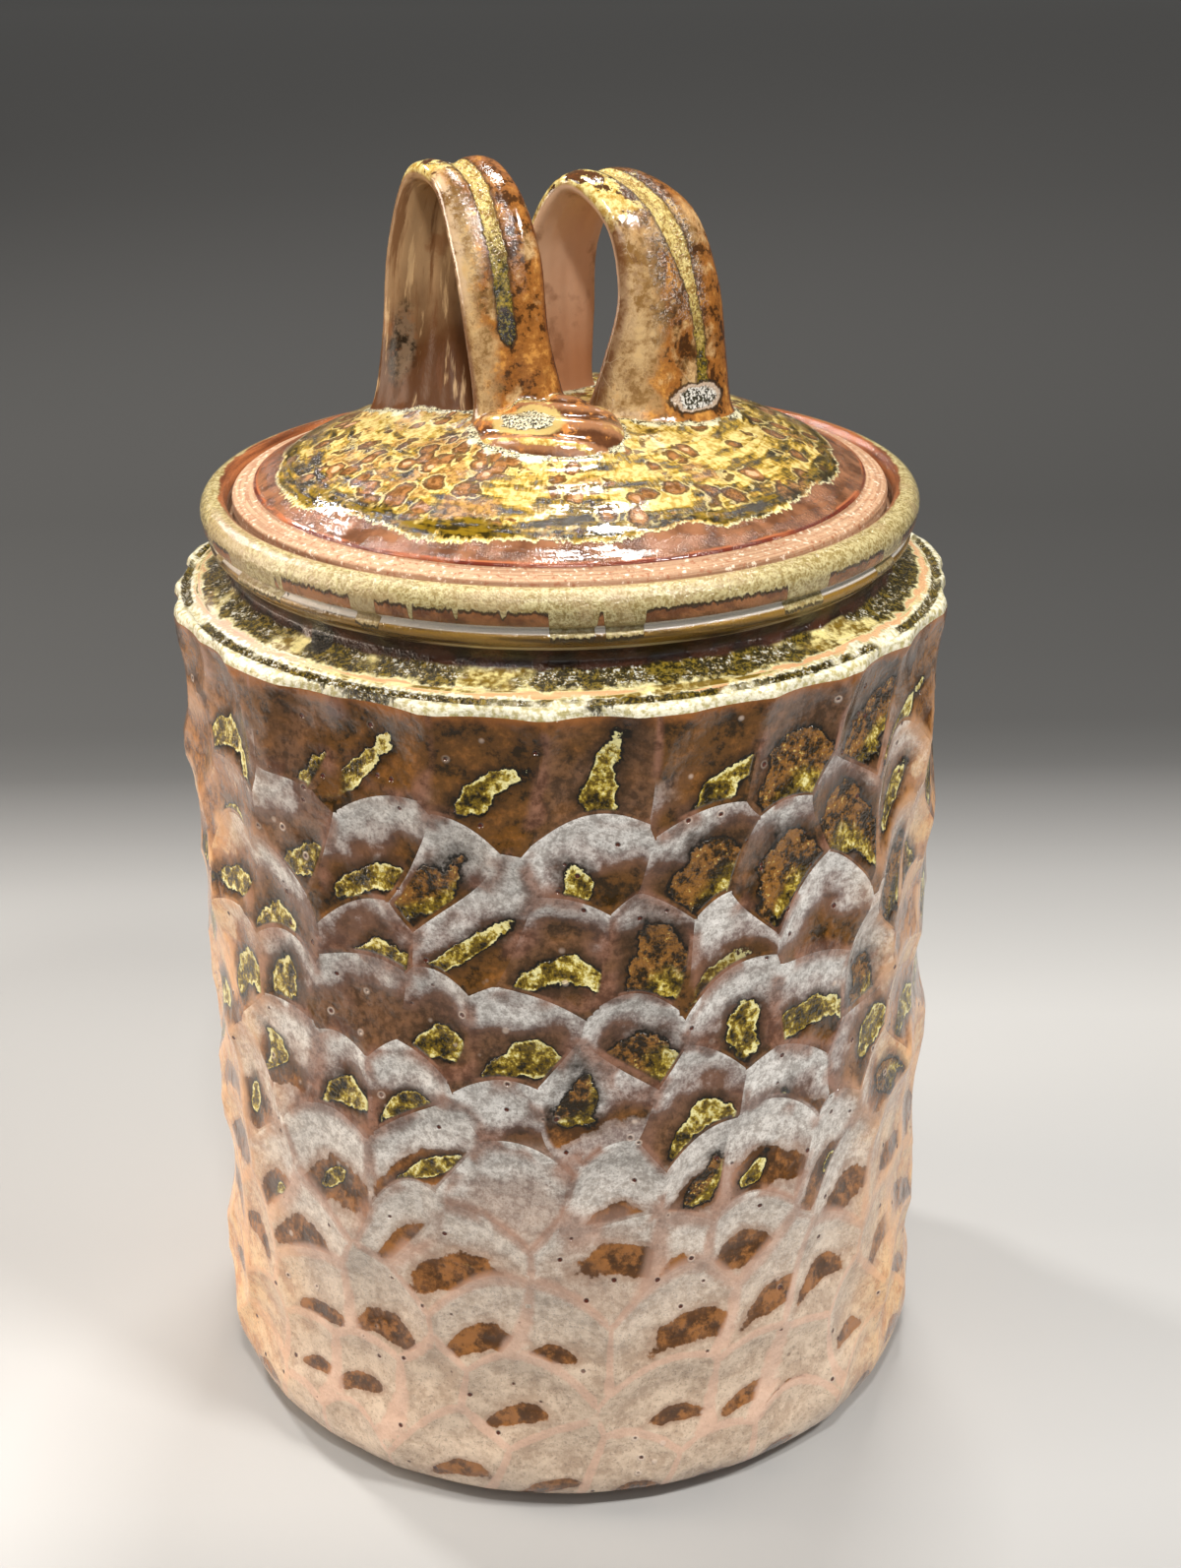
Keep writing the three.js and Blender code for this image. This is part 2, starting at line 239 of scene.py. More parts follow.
# The scoops are cut in the leather-hard wall with a thumb-wide tool, row by row from the
# shoulder down. The plan gives each scoop its own wander, lean, width and depth, and the
# nodes cut every point of the wall as deep as the deepest scoop that reaches it.
scoops_per_row = 25
scoop_rows = 10
scoop_pitch = 16.6 * mm
scoop_width = 15 * mm
scoop_top_length = 13 * mm
scoop_tail_length = 17 * mm
scoop_depth = 2.9 * mm
scoop_arch = 0.55
scoop_lean = 0.14
lean_spread = 0.5
width_spread = 0.5
depth_spread = 0.5
side_scatter = 0.72
height_scatter = 0.62
top_row_scatter = 0.16
turn_per_row = 0.31
ridge_rounding = 0.8 * mm
ridge_wear = 0.25
neighbours = 5


def jitter(i, j, k):
    """A repeatable value from -0.5 to 0.5 for scoop i of row j."""
    s = sin(i * 12.9898 + j * 78.233 + k * 37.719) * 43758.5453
    return s - floor(s) - 0.5


plan_mesh = bpy.data.meshes.new("scoop_plan")
plan_mesh.from_pydata([(i, row, 0) for row in range(scoop_rows) for i in range(scoops_per_row)], [], [])
plan_place = []
plan_form = []
plan_chance = []
for row in range(scoop_rows):
    for i in range(scoops_per_row):
        wander = (top_row_scatter if row == 0 else height_scatter) * scoop_pitch * jitter(i, row, 2)
        lean = scoop_lean + lean_spread * jitter(i, row, 4)
        plan_place += [side_scatter * jitter(i, row, 1), wander, 0]
        width = scoop_width * (1 + width_spread * jitter(i, row, 3))
        depth = scoop_depth * (1 + depth_spread * jitter(i, row, 5))
        plan_form += [width, depth, lean]
        plan_chance += [jitter(i, row, 6) + 0.5, jitter(i, row, 7) + 0.5, jitter(i, row, 8) + 0.5]
plan_mesh.attributes.new("place", "FLOAT_VECTOR", "POINT").data.foreach_set("vector", plan_place)
plan_mesh.attributes.new("form", "FLOAT_VECTOR", "POINT").data.foreach_set("vector", plan_form)
plan_mesh.attributes.new("chance", "FLOAT_VECTOR", "POINT").data.foreach_set("vector", plan_chance)
scoop_plan = new_piece("scoop_plan", plan_mesh)


def put(tree, kind, *inputs, **settings):
    """Adds a node, feeds its first inputs in order with links or values, and returns it."""
    node = tree.nodes.new(kind)
    for name, value in settings.items():
        setattr(node, name, value)
    for socket, value in zip(node.inputs, inputs):
        if isinstance(value, bpy.types.NodeSocket):
            tree.links.new(value, socket)
        elif value is not None:
            socket.default_value = value
    return node


def tree_of(*values):
    """The node tree of the first of the values that is a link."""
    return next(value.id_data for value in values if isinstance(value, bpy.types.NodeSocket))


def maths(operation, *values, clamp=False):
    """The result of a maths node fed with links or values."""
    node = put(tree_of(*values), "ShaderNodeMath", *values, operation=operation, use_clamp=clamp)
    return node.outputs[0]


def split(vector):
    """The vector's x, y and z."""
    return put(vector.id_data, "ShaderNodeSeparateXYZ", vector).outputs


def joined(x, y, z):
    """The vector with this x, y and z."""
    return put(tree_of(x, y, z), "ShaderNodeCombineXYZ", x, y, z).outputs[0]


def vector_maths(operation, *vectors):
    """The outputs of a vector maths node."""
    return put(tree_of(*vectors), "ShaderNodeVectorMath", *vectors, operation=operation).outputs


def scaled(value, factor, offset):
    """The value times a factor, plus an offset."""
    return maths("MULTIPLY_ADD", value, factor, offset)


def all_but(share):
    """What a share leaves of one."""
    return maths("SUBTRACT", 1, share)


def hypotenuse(across, up):
    """The length of a line that runs this far across and this far up."""
    return maths("SQRT", scaled(across, across, maths("MULTIPLY", up, up)))


scooping = bpy.data.node_groups.new("scooped_wall", "GeometryNodeTree")
scooping.interface.new_socket("Geometry", in_out="OUTPUT", socket_type="NodeSocketGeometry")
scooping.interface.new_socket("Geometry", in_out="INPUT", socket_type="NodeSocketGeometry")
scoop_sizes = {
    "Scoops in a Row": scoops_per_row,
    "Rows": scoop_rows,
    "Row Pitch": scoop_pitch,
    "First Height": shoulder_height - scoop_pitch / 2,
    "Spacing": 2 * pi * wall_radius / scoops_per_row,
    "Top Length": scoop_top_length,
    "Tail Length": scoop_tail_length,
    "Arch": scoop_arch,
    "Shoulder": shoulder_height,
    "Ridge Rounding": ridge_rounding,
}
plan_socket = scooping.interface.new_socket("Plan", in_out="INPUT", socket_type="NodeSocketObject")
finish_socket = scooping.interface.new_socket("Finish", in_out="INPUT", socket_type="NodeSocketMaterial")
size_sockets = {}
for name in scoop_sizes:
    size_sockets[name] = scooping.interface.new_socket(name, in_out="INPUT", socket_type="NodeSocketFloat")
given = scooping.nodes.new("NodeGroupInput").outputs
in_row = given["Scoops in a Row"]

point_xyz = split(put(scooping, "GeometryNodeInputPosition").outputs[0])
full_turn = maths("DIVIDE", maths("ARCTAN2", point_xyz[1], point_xyz[0]), 2 * pi)
turns = maths("FRACT", full_turn)
level = maths("MINIMUM", point_xyz[2], given["Shoulder"])
down = maths("DIVIDE", maths("SUBTRACT", given["First Height"], level), given["Row Pitch"])
near_row = maths("ROUND", down)
plan_points = put(scooping, "GeometryNodeObjectInfo", given["Plan"]).outputs["Geometry"]

# The zone tries the scoops of the five rows and five columns nearest to the point, one by one, and
# keeps the two that cut it deepest.
zone_in = scooping.nodes.new("GeometryNodeRepeatInput")
zone_out = scooping.nodes.new("GeometryNodeRepeatOutput")
zone_in.pair_with_output(zone_out)
zone_out.repeat_items.clear()
for name in ("Deepest", "Second", "First Scoop", "Second Scoop"):
    zone_out.repeat_items.new("VECTOR" if "Scoop" in name else "FLOAT", name)
zone_in.inputs["Iterations"].default_value = neighbours * neighbours
zone_in.inputs["Deepest"].default_value = -1
zone_in.inputs["Second"].default_value = -1
count = zone_in.outputs["Iteration"]
row_step = maths("SUBTRACT", maths("FLOOR", maths("DIVIDE", count, neighbours)), neighbours // 2)
column_step = maths("SUBTRACT", maths("MODULO", count, neighbours), neighbours // 2)
last_row = maths("SUBTRACT", given["Rows"], 1)
row_number = maths("MAXIMUM", maths("ADD", near_row, row_step), 0)
row_number = maths("MINIMUM", row_number, last_row)
odd = maths("MULTIPLY", maths("MODULO", row_number, 2), 0.5)
row_shift = scaled(row_number, turn_per_row, odd)
in_columns = maths("SUBTRACT", maths("MULTIPLY", turns, in_row), row_shift)
column_number = maths("ADD", maths("ROUND", in_columns), column_step)
wrapped = maths("FLOORED_MODULO", column_number, in_row)
plan_index = maths("ROUND", scaled(row_number, in_row, wrapped))


def from_plan(name, index):
    """What the plan stores under a name for the scoop with this index."""
    wanted = put(scooping, "GeometryNodeInputNamedAttribute", name, data_type="FLOAT_VECTOR").outputs[0]
    sample = scooping.nodes.new("GeometryNodeSampleIndex")
    sample.data_type = "FLOAT_VECTOR"
    scooping.links.new(plan_points, sample.inputs["Geometry"])
    scooping.links.new(wanted, sample.inputs["Value"])
    scooping.links.new(index, sample.inputs["Index"])
    return sample.outputs[0]


place = split(from_plan("place", plan_index))
form = split(from_plan("form", plan_index))
middle = maths("ADD", maths("ADD", column_number, place[0]), row_shift)
across = maths("SUBTRACT", maths("MULTIPLY", turns, in_row), middle)
across = maths("MULTIPLY", across, given["Spacing"])
centre = maths("MULTIPLY", row_number, given["Row Pitch"])
centre = maths("ADD", maths("SUBTRACT", given["First Height"], centre), place[1])
rise = maths("SUBTRACT", level, centre)


def bowl_of(across, rise, form, lengths):
    """How far across and along a scoop a point lies, as shares of its size, and how deep it is cut."""
    rise = maths("SUBTRACT", rise, maths("MULTIPLY", form[2], across))
    across = maths("DIVIDE", across, form[0])
    squared = maths("MULTIPLY", across, across)
    is_top = maths("GREATER_THAN", rise, 0)
    top_part = maths("DIVIDE", rise, lengths["Top Length"])
    tail_part = maths("DIVIDE", rise, lengths["Tail Length"])
    along = scaled(maths("SUBTRACT", top_part, tail_part), is_top, tail_part)
    along = scaled(squared, lengths["Arch"], along)
    bowl = maths("SUBTRACT", all_but(squared), maths("MULTIPLY", along, along))
    return across, along, maths("MULTIPLY", bowl, form[1])


cut = bowl_of(across, rise, form, given)[2]
this_scoop = joined(middle, centre, plan_index)
deepest, second = zone_in.outputs["Deepest"], zone_in.outputs["Second"]
wins = maths("GREATER_THAN", cut, deepest)
is_new = all_but(maths("COMPARE", cut, deepest, 1e-9))
is_second = maths("MULTIPLY", maths("GREATER_THAN", cut, second), is_new)


def pick(test, if_not, if_so, kind="VECTOR"):
    """One value, or the other where the test holds."""
    switch = scooping.nodes.new("GeometryNodeSwitch")
    switch.input_type = kind
    for name, value in (("Switch", test), ("False", if_not), ("True", if_so)):
        scooping.links.new(value, switch.inputs[name])
    return switch.outputs[0]


first_scoop, second_scoop = zone_in.outputs["First Scoop"], zone_in.outputs["Second Scoop"]
held = {
    "Deepest": pick(wins, deepest, cut, "FLOAT"),
    "Second": pick(wins, pick(is_second, second, cut, "FLOAT"), deepest, "FLOAT"),
    "First Scoop": pick(wins, first_scoop, this_scoop),
    "Second Scoop": pick(wins, pick(is_second, second_scoop, this_scoop), first_scoop),
}
for name, value in held.items():
    scooping.links.new(value, zone_out.inputs[name])

share = put(scooping, "GeometryNodeInputNamedAttribute", "scoop_share", data_type="FLOAT").outputs[0]
outward = vector_maths("NORMALIZE", joined(point_xyz[0], point_xyz[1], 0.0))[0]

# The ridge between two scoops is rounded a little
ridge = maths("SUBTRACT", zone_out.outputs["Deepest"], zone_out.outputs["Second"])
nearness = maths("SUBTRACT", 1, maths("DIVIDE", ridge, given["Ridge Rounding"]), clamp=True)
softening = maths("MULTIPLY", maths("MULTIPLY", nearness, nearness), given["Ridge Rounding"])
depth = maths("MAXIMUM", zone_out.outputs["Deepest"], 0)
depth = scaled(softening, ridge_wear, depth)
inward = maths("MULTIPLY", maths("MULTIPLY", depth, share), -1)
move = scooping.nodes.new("ShaderNodeVectorMath")
move.operation = "SCALE"
scooping.links.new(outward, move.inputs[0])
scooping.links.new(inward, move.inputs["Scale"])

# Each face keeps its deepest two scoops, so that the glaze can follow the ridge between them.
shaped = given["Geometry"]
for which in ("First", "Second"):
    index = split(zone_out.outputs[which + " Scoop"])[2]
    kept = {
        "_scoop": zone_out.outputs[which + " Scoop"],
        "_form": from_plan("form", index),
        "_chance": from_plan("chance", index),
    }
    for name, value in kept.items():
        store = scooping.nodes.new("GeometryNodeStoreNamedAttribute")
        store.data_type = "FLOAT_VECTOR"
        store.domain = "FACE"
        store.inputs["Name"].default_value = which.lower() + name
        scooping.links.new(shaped, store.inputs["Geometry"])
        scooping.links.new(value, store.inputs["Value"])
        shaped = store.outputs[0]
moved = scooping.nodes.new("GeometryNodeSetPosition")
scooping.links.new(shaped, moved.inputs["Geometry"])
scooping.links.new(move.outputs[0], moved.inputs["Offset"])
real = put(scooping, "GeometryNodeRealizeInstances", moved.outputs[0]).outputs[0]
painted = scooping.nodes.new("GeometryNodeSetMaterial")
scooping.links.new(real, painted.inputs["Geometry"])
scooping.links.new(given["Finish"], painted.inputs["Material"])
put(scooping, "NodeGroupOutput", painted.outputs[0])

# The wall's glaze is an iron brown. It turns pale and grey-pink on the upper half of each scoop and
# ever more toward the foot, partly where it is thin and partly as a painted reflection of the pale
# table, and it pools olive and yellow low in each scoop.


def tint(red, green, blue):
    """The shader's colour for one that a screen shows as red, green and blue of 255."""
    shown = (red / 255, green / 255, blue / 255)
    return tuple(v / 12.92 if v < 0.04 else ((v + 0.055) / 1.055) ** 2.4 for v in shown) + (1,)


def noise(place, size, detail=3.0, rough=0.55, fourth=None):
    """A cloudy pattern from 0 to 1 in steps of about the size."""
    node = put(place.id_data, "ShaderNodeTexNoise", place)
    node.noise_dimensions = "3D" if fourth is None else "4D"
    if fourth is not None:
        place.id_data.links.new(fourth, node.inputs["W"])
    node.inputs["Scale"].default_value = 1 / size
    node.inputs["Detail"].default_value = detail
    node.inputs["Roughness"].default_value = rough
    return node.outputs["Fac"]


def cells(place, size, feature="F1"):
    """A cell pattern: how far the nearest centre is, as a share of the size, and the cell's colour."""
    node = put(place.id_data, "ShaderNodeTexVoronoi", place, feature=feature)
    node.inputs["Scale"].default_value = 1 / size
    return node.outputs["Distance"], node.outputs["Color"] if feature == "F1" else None


def between(value, low, high):
    """Rises smoothly from 0 to 1 as the value goes from low to high, or falls if low is the larger."""
    node = put(tree_of(value), "ShaderNodeMapRange", value, low, high, interpolation_type="SMOOTHSTEP")
    return node.outputs[0]


def blended(share, first, second):
    """The first value where the share is 0, the second where it is 1."""
    return put(share.id_data, "ShaderNodeMix", share, None, first, second).outputs[0]


def mixed(share, first, second):
    """The first colour where the share is 0, the second where it is 1."""
    unused = [None] * 5
    return put(share.id_data, "ShaderNodeMix", share, *unused, first, second, data_type="RGBA").outputs[2]


def graded(pattern, low, high, first, second):
    """The first colour where the pattern is at low, the second at high, and a blend between."""
    return mixed(between(pattern, low, high), first, second)


def either(first, second):
    """The larger of two masks or values."""
    return maths("MAXIMUM", first, second)


def both(*masks):
    """The product of masks or values: as masks, 1 only where each of them is 1."""
    product = masks[0]
    for mask in masks[1:]:
        product = maths("MULTIPLY", product, mask)
    return product


def laid(colour, tone, *masks):
    """The colour with a tone laid over it where the masks are 1."""
    return mixed(both(*masks), colour, tone)


def from_mesh(tree, name):
    """What the mesh stores under a name."""
    node = tree.nodes.new("ShaderNodeAttribute")
    node.attribute_name = name
    return node.outputs


def shifted(value, pattern, amount):
    """The value moved to and fro by a noise pattern, by half the amount either way at most."""
    return scaled(maths("SUBTRACT", pattern, 0.5), amount, value)


def within(value, low, high, soft):
    """1 where the value lies between low and high, with soft ends, and 0 elsewhere."""
    rising = between(value, low - soft / 2, low + soft / 2)
    return both(rising, between(value, high + soft / 2, high - soft / 2))


def new_glaze(name, ior=1.5, coat=0.4):
    """A fired glaze: a glassy surface over its own colour."""
    material = bpy.data.materials.new(name)
    material.use_nodes = True
    shader = material.node_tree.nodes["Principled BSDF"]
    shader.inputs["IOR"].default_value = ior
    shader.inputs["Coat Weight"].default_value = coat
    shader.inputs["Coat Roughness"].default_value = 0.05
    shader.inputs["Coat IOR"].default_value = 1.5
    place = put(material.node_tree, "ShaderNodeTexCoord").outputs["Object"]
    return material, material.node_tree, place


def stacked(*layers):
    """A relief in millimetres, the sum of patterns that are each given with their height."""
    (pattern, height), *others = layers
    relief = both(pattern, height)
    for pattern, height in others:
        relief = scaled(pattern, height, relief)
    return relief


def dress(colour, roughness, relief):
    """Joins colour, roughness and a relief in millimetres to the shader."""
    tree = colour.id_data
    shader = tree.nodes["Principled BSDF"]
    bump = tree.nodes.new("ShaderNodeBump")
    bump.inputs["Strength"].default_value = 1
    bump.inputs["Distance"].default_value = mm
    tree.links.new(relief, bump.inputs["Height"])
    tree.links.new(colour, shader.inputs["Base Color"])
    if isinstance(roughness, bpy.types.NodeSocket):
        tree.links.new(roughness, shader.inputs["Roughness"])
    else:
        shader.inputs["Roughness"].default_value = roughness
    tree.links.new(bump.outputs[0], shader.inputs["Normal"])
    tree.links.new(bump.outputs[0], shader.inputs["Coat Normal"])


iron_black = tint(48, 32, 8)
iron_brown = tint(104, 68, 28)
iron_amber = tint(142, 92, 42)
dull_mauve = tint(94, 66, 46)
light_mauve = tint(134, 98, 74)
side_light_umber = tint(128, 78, 36)
side_light_orange = tint(214, 150, 90)
foot_umber = tint(112, 66, 30)
foot_amber = tint(196, 128, 66)
edge_orange = tint(176, 108, 52)
reflection_veil_mauve = tint(122, 92, 82)
reflection_veil_side_light_orange = tint(206, 146, 100)
ash_and_reflection_grey = tint(180, 173, 166)
ash_and_reflection_white = tint(244, 240, 234)
deep_reflection_lilac = tint(134, 116, 110)
light_reflection_lilac = tint(186, 172, 164)
oatmeal = tint(188, 162, 138)
warm_cream = tint(224, 202, 178)
side_light_amber = tint(208, 138, 72)
side_light_cream = tint(236, 190, 130)
pepper = tint(104, 88, 78)
spot_rim = tint(158, 124, 100)
spot_brown = tint(90, 56, 26)
spot_orange = tint(156, 102, 52)
spot_black = tint(64, 40, 16)
ridge_brown = tint(98, 62, 44)
ridge_mauve = tint(152, 108, 86)
ridge_pink = tint(226, 184, 160)
ridge_side_light_orange = tint(238, 182, 128)
pool_black = tint(36, 28, 4)
pool_olive = tint(110, 88, 18)
pool_mustard = tint(178, 154, 58)
pool_yellow = tint(236, 226, 160)
core_black = tint(40, 28, 8)
core_brown = tint(142, 96, 42)
core_straw = tint(206, 176, 96)
halo_brown = tint(42, 28, 9)
outline_black = tint(20, 15, 6)
pinhole_lip = tint(226, 204, 186)
pinhole_red = tint(84, 34, 18)
edge_from = shoulder_height - 2.5 * mm
edge_to = shoulder_height + 0.5 * mm
pale_below = 150 * mm
arches_below = 160 * mm
spots_below = 84 * mm
spot_width = 11 * mm
spot_length = 3.7 * mm
pools_above = 66 * mm
pool_length = 9.2 * mm
pool_width = 2.6 * mm
pinhole_spacing = 4.6 * mm

wall_glaze, tree, place = new_glaze("scooped_wall_glaze")
x, y, height = split(place)
turns = maths("DIVIDE", maths("ARCTAN2", y, x), 2 * pi)
level = maths("MINIMUM", height, shoulder_height)


def place_in(which):
    """Where a place lies in one of its face's two scoops."""
    scoop = split(from_mesh(tree, which + "_scoop")["Vector"])
    form = split(from_mesh(tree, which + "_form")["Vector"])
    columns = maths("SUBTRACT", maths("MULTIPLY", turns, scoops_per_row), scoop[0])
    columns = maths("FLOORED_MODULO", maths("ADD", columns, scoops_per_row / 2), scoops_per_row)
    across = maths("MULTIPLY", maths("SUBTRACT", columns, scoops_per_row / 2), scoop_sizes["Spacing"])
    return bowl_of(across, maths("SUBTRACT", level, scoop[1]), form, scoop_sizes)


first_across, first_along, first_cut = place_in("first")
second_across, second_along, second_cut = place_in("second")
in_first = maths("GREATER_THAN", first_cut, second_cut)
across = blended(in_first, second_across, first_across)
along = blended(in_first, second_along, first_along)
first_chance = from_mesh(tree, "first_chance")["Vector"]
second_chance = from_mesh(tree, "second_chance")["Vector"]
chance = split(mixed(in_first, second_chance, first_chance))
ridge = maths("ABSOLUTE", maths("SUBTRACT", first_cut, second_cut))
clouds = noise(place, 26 * mm)
billows = noise(place, 9 * mm, 1)
mottle = noise(place, 6 * mm, 6, 0.68)
specks = noise(place, 1.7 * mm, 4, 0.72)
grain = noise(place, 0.6 * mm, 2)
low = between(height, 95 * mm, 25 * mm)
# The left and right flanks take painted warm side light: orange browns, veil, pale and ridges there
painted_side_light = between(shifted(maths("ABSOLUTE", x), clouds, 24 * mm), 50 * mm, 72 * mm)
painted_side_light = both(painted_side_light, between(height, 185 * mm, 125 * mm))

# Brown, mottled from near black to amber
tones = shifted(mottle, specks, 0.5)
brown = graded(tones, 0.36, 0.52, iron_black, iron_brown)
brown = graded(tones, 0.52, 0.7, brown, iron_amber)
mauve = both(between(chance[1], 0.55, 0.7), between(clouds, 0.38, 0.5), 0.6)
brown = mixed(mauve, brown, graded(specks, 0.4, 0.6, dull_mauve, light_mauve))
side_light_brown = graded(tones, 0.36, 0.62, side_light_umber, side_light_orange)
brown = laid(brown, side_light_brown, painted_side_light, 0.75)
brown = mixed(both(low, 0.7), brown, graded(tones, 0.36, 0.62, foot_umber, foot_amber))
glow = both(between(shifted(height, mottle, 5 * mm), edge_from, edge_to), 0.6)
colour = mixed(glow, brown, edge_orange)

# The pale: thin glaze with a painted reflection of the pale table in it. None in the top row, an arch
# in each scoop below it, nearly all at the foot. It is palest at its top, and greys to mauve as the
# painted reflection fades, before it gives way to the brown.
fall = all_but(maths("DIVIDE", height, pale_below, clamp=True))
limit = scaled(maths("POWER", fall, 1.4), -0.94, 0.12)
limit = shifted(limit, chance[1], scaled(fall, -0.36, 0.56))
reach = shifted(shifted(along, billows, 1.0), mottle, 0.5)
over = maths("SUBTRACT", shifted(reach, specks, 0.12), limit)
top_row = between(shifted(height, billows, 20 * mm), arches_below, arches_below - 8 * mm)
thin = both(between(over, -0.05, 0.06), top_row)
reflection_veil = both(between(over, -0.3, 0.02), top_row, 0.6)

# Low on the wall it covers all but a lens of brown in each scoop, ever smaller toward the foot
pool_u = maths("MULTIPLY", shifted(across, chance[1], -0.4), scoop_width)
pool_v = shifted(maths("ADD", along, 0.36), chance[2], -0.22)
pool_v = maths("MULTIPLY", pool_v, scoop_tail_length)
spot_size = scaled(between(height, 14 * mm, 76 * mm), 0.6, 0.5)
spot_size = both(spot_size, scaled(chance[0], 0.5, 0.75))
spot_u = maths("DIVIDE", pool_u, both(spot_size, spot_width))
spot_v = maths("ADD", pool_v, scaled(chance[0], 2 * mm, -1.2 * mm))
spot_v = maths("DIVIDE", spot_v, both(spot_size, spot_length))
spot = hypotenuse(spot_u, spot_v)
spot = shifted(shifted(spot, noise(place, 4.5 * mm, 4, 0.6), 1.1), specks, 0.25)
spotted = both(between(chance[2], 0.06, 0.1), between(ridge, 0.15 * mm, 0.4 * mm))
low_down = between(shifted(height, chance[1], 22 * mm), spots_below, spots_below - 6 * mm)
no_spot = all_but(both(between(spot, 1.05, 0.92), spotted))
thin = blended(low_down, thin, no_spot)
spot_edge = both(between(spot, 1.5, 1.0), spotted)
reflection_veil = both(reflection_veil, all_but(low_down))
# The mauve veil under each arch is the painted reflection fading out, over thin glaze
colour = mixed(reflection_veil, colour, mixed(painted_side_light, reflection_veil_mauve, reflection_veil_side_light_orange))
speckled = shifted(specks, grain, 0.6)
# The pale's greys and whites, and the lilac toward its lower edge, are partly painted reflection
pale_and_painted_reflection = graded(speckled, 0.34, 0.64, ash_and_reflection_grey, ash_and_reflection_white)
reflection_fade_lilac = graded(speckled, 0.34, 0.64, deep_reflection_lilac, light_reflection_lilac)
pale_and_painted_reflection = graded(over, 0.02, 0.3, reflection_fade_lilac, pale_and_painted_reflection)
warm_pale = graded(tones, 0.34, 0.64, oatmeal, warm_cream)
pale_and_painted_reflection = laid(pale_and_painted_reflection, warm_pale, low)
# Painted warm side light on the flanks' pale
side_light_pale = graded(tones, 0.36, 0.62, side_light_amber, side_light_cream)
pale_and_painted_reflection = laid(pale_and_painted_reflection, side_light_pale, painted_side_light, 0.88)
pale_and_painted_reflection = laid(pale_and_painted_reflection, pepper, between(grain, 0.58, 0.66), 0.35)
colour = laid(colour, pale_and_painted_reflection, thin, 0.95)
colour = laid(colour, spot_rim, spot_edge, low_down, thin, 0.5)
in_spot = both(low_down, all_but(no_spot))
orange = graded(tones, 0.4, 0.64, spot_brown, spot_orange)
orange = laid(orange, spot_black, between(spot, 0.75, 0.3), between(tones, 0.6, 0.44), 0.8)
colour = laid(colour, orange, in_spot, 0.9)

# Mauve brown lines on the ridges, where the glaze breaks, pink lower down, and orange on the flanks,
# where the orange is painted warm side light
crest_reach = scaled(low, -1.05 * mm, 1.6 * mm)
crest = between(shifted(shifted(ridge, mottle, 0.8 * mm), specks, 0.4 * mm), crest_reach, 0.3 * mm)
crest = both(crest, between(shifted(billows, low, 0.3), 0.3, 0.42))
crest_brown = graded(tones, 0.38, 0.6, ridge_brown, ridge_mauve)
crest_colour = mixed(low, crest_brown, ridge_pink)
crest_colour = laid(crest_colour, ridge_side_light_orange, painted_side_light)
colour = laid(colour, crest_colour, crest, scaled(low, -0.2, 0.82))

# On the upper wall a pool of thick glaze lies low in most scoops, slanting up to the right: olive,
# with pale yellow over a part of it, and a thin dark outline. Some are large and mottled brown.
lean = scaled(chance[0], 0.65, -0.05)
lean = scaled(between(chance[0], 0.88, 0.9), 0.8, lean)
lean_cos = maths("COSINE", lean)
lean_sin = maths("SINE", lean)
run = scaled(pool_u, lean_cos, both(pool_v, lean_sin))
rise = maths("SUBTRACT", both(pool_v, lean_cos), both(pool_u, lean_sin))
large = between(chance[2], 0.76, 0.78)
shrunk = scaled(between(height, 30 * mm, 110 * mm), 0.8, 0.2)
pool_size = both(shrunk, scaled(chance[1], 0.5, 0.75))
top_pool = between(height, arches_below - 4 * mm, arches_below)
stubby = both(between(chance[0], 0.58, 0.62), all_but(top_pool))
long = scaled(stubby, -3.6 * mm, scaled(top_pool, 3 * mm, pool_length))
run = maths("DIVIDE", run, both(pool_size, long))
wide = scaled(large, 3.2 * mm, scaled(stubby, 0.7 * mm, pool_width))
rise = maths("DIVIDE", rise, both(pool_size, wide))
bend = scaled(chance[1], 2.4, -1.2)
rise = scaled(both(run, run), bend, rise)
spread = hypotenuse(run, rise)
ragged = shifted(shifted(spread, noise(place, 4.5 * mm, 4, 0.6), 1.7), specks, 0.3)
held = both(between(ridge, 0.25 * mm, 0.5 * mm), between(chance[2], 0.06, 0.1))
held = both(held, between(shifted(height, chance[0], 36 * mm), pools_above, pools_above + 4 * mm))
pool = both(between(ragged, 1.0, 0.94), held)
outline = both(between(ragged, 1.22, 1.02), held)
halo = both(between(ragged, 2.2, 1.0), held, between(mottle, 0.3, 0.55), 0.85)
colour = laid(colour, halo_brown, halo, all_but(low))
toward_top = scaled(run, 0.16, shifted(0.46, noise(place, 3.4 * mm, 4, 0.6), 1.6))
crust = both(between(ragged, 0.66, 0.9), all_but(large))
glassy = shifted(shifted(toward_top, specks, 0.8), grain, 0.5)
glassy = scaled(crust, 0.26, maths("SUBTRACT", glassy, 0.07))
core = graded(glassy, 0.1, 0.42, pool_black, pool_olive)
core = graded(glassy, 0.42, 0.56, core, pool_mustard)
core = graded(glassy, 0.56, 0.76, core, pool_yellow)
brown_core = graded(shifted(tones, specks, 0.7), 0.38, 0.64, core_black, core_brown)
brown_core = graded(shifted(specks, grain, 0.6), 0.64, 0.72, brown_core, core_straw)
core = laid(core, brown_core, large, between(rise, -0.5, 0))
colour = laid(colour, outline_black, outline, between(specks, 0.25, 0.4))
colour = laid(colour, core, pool)

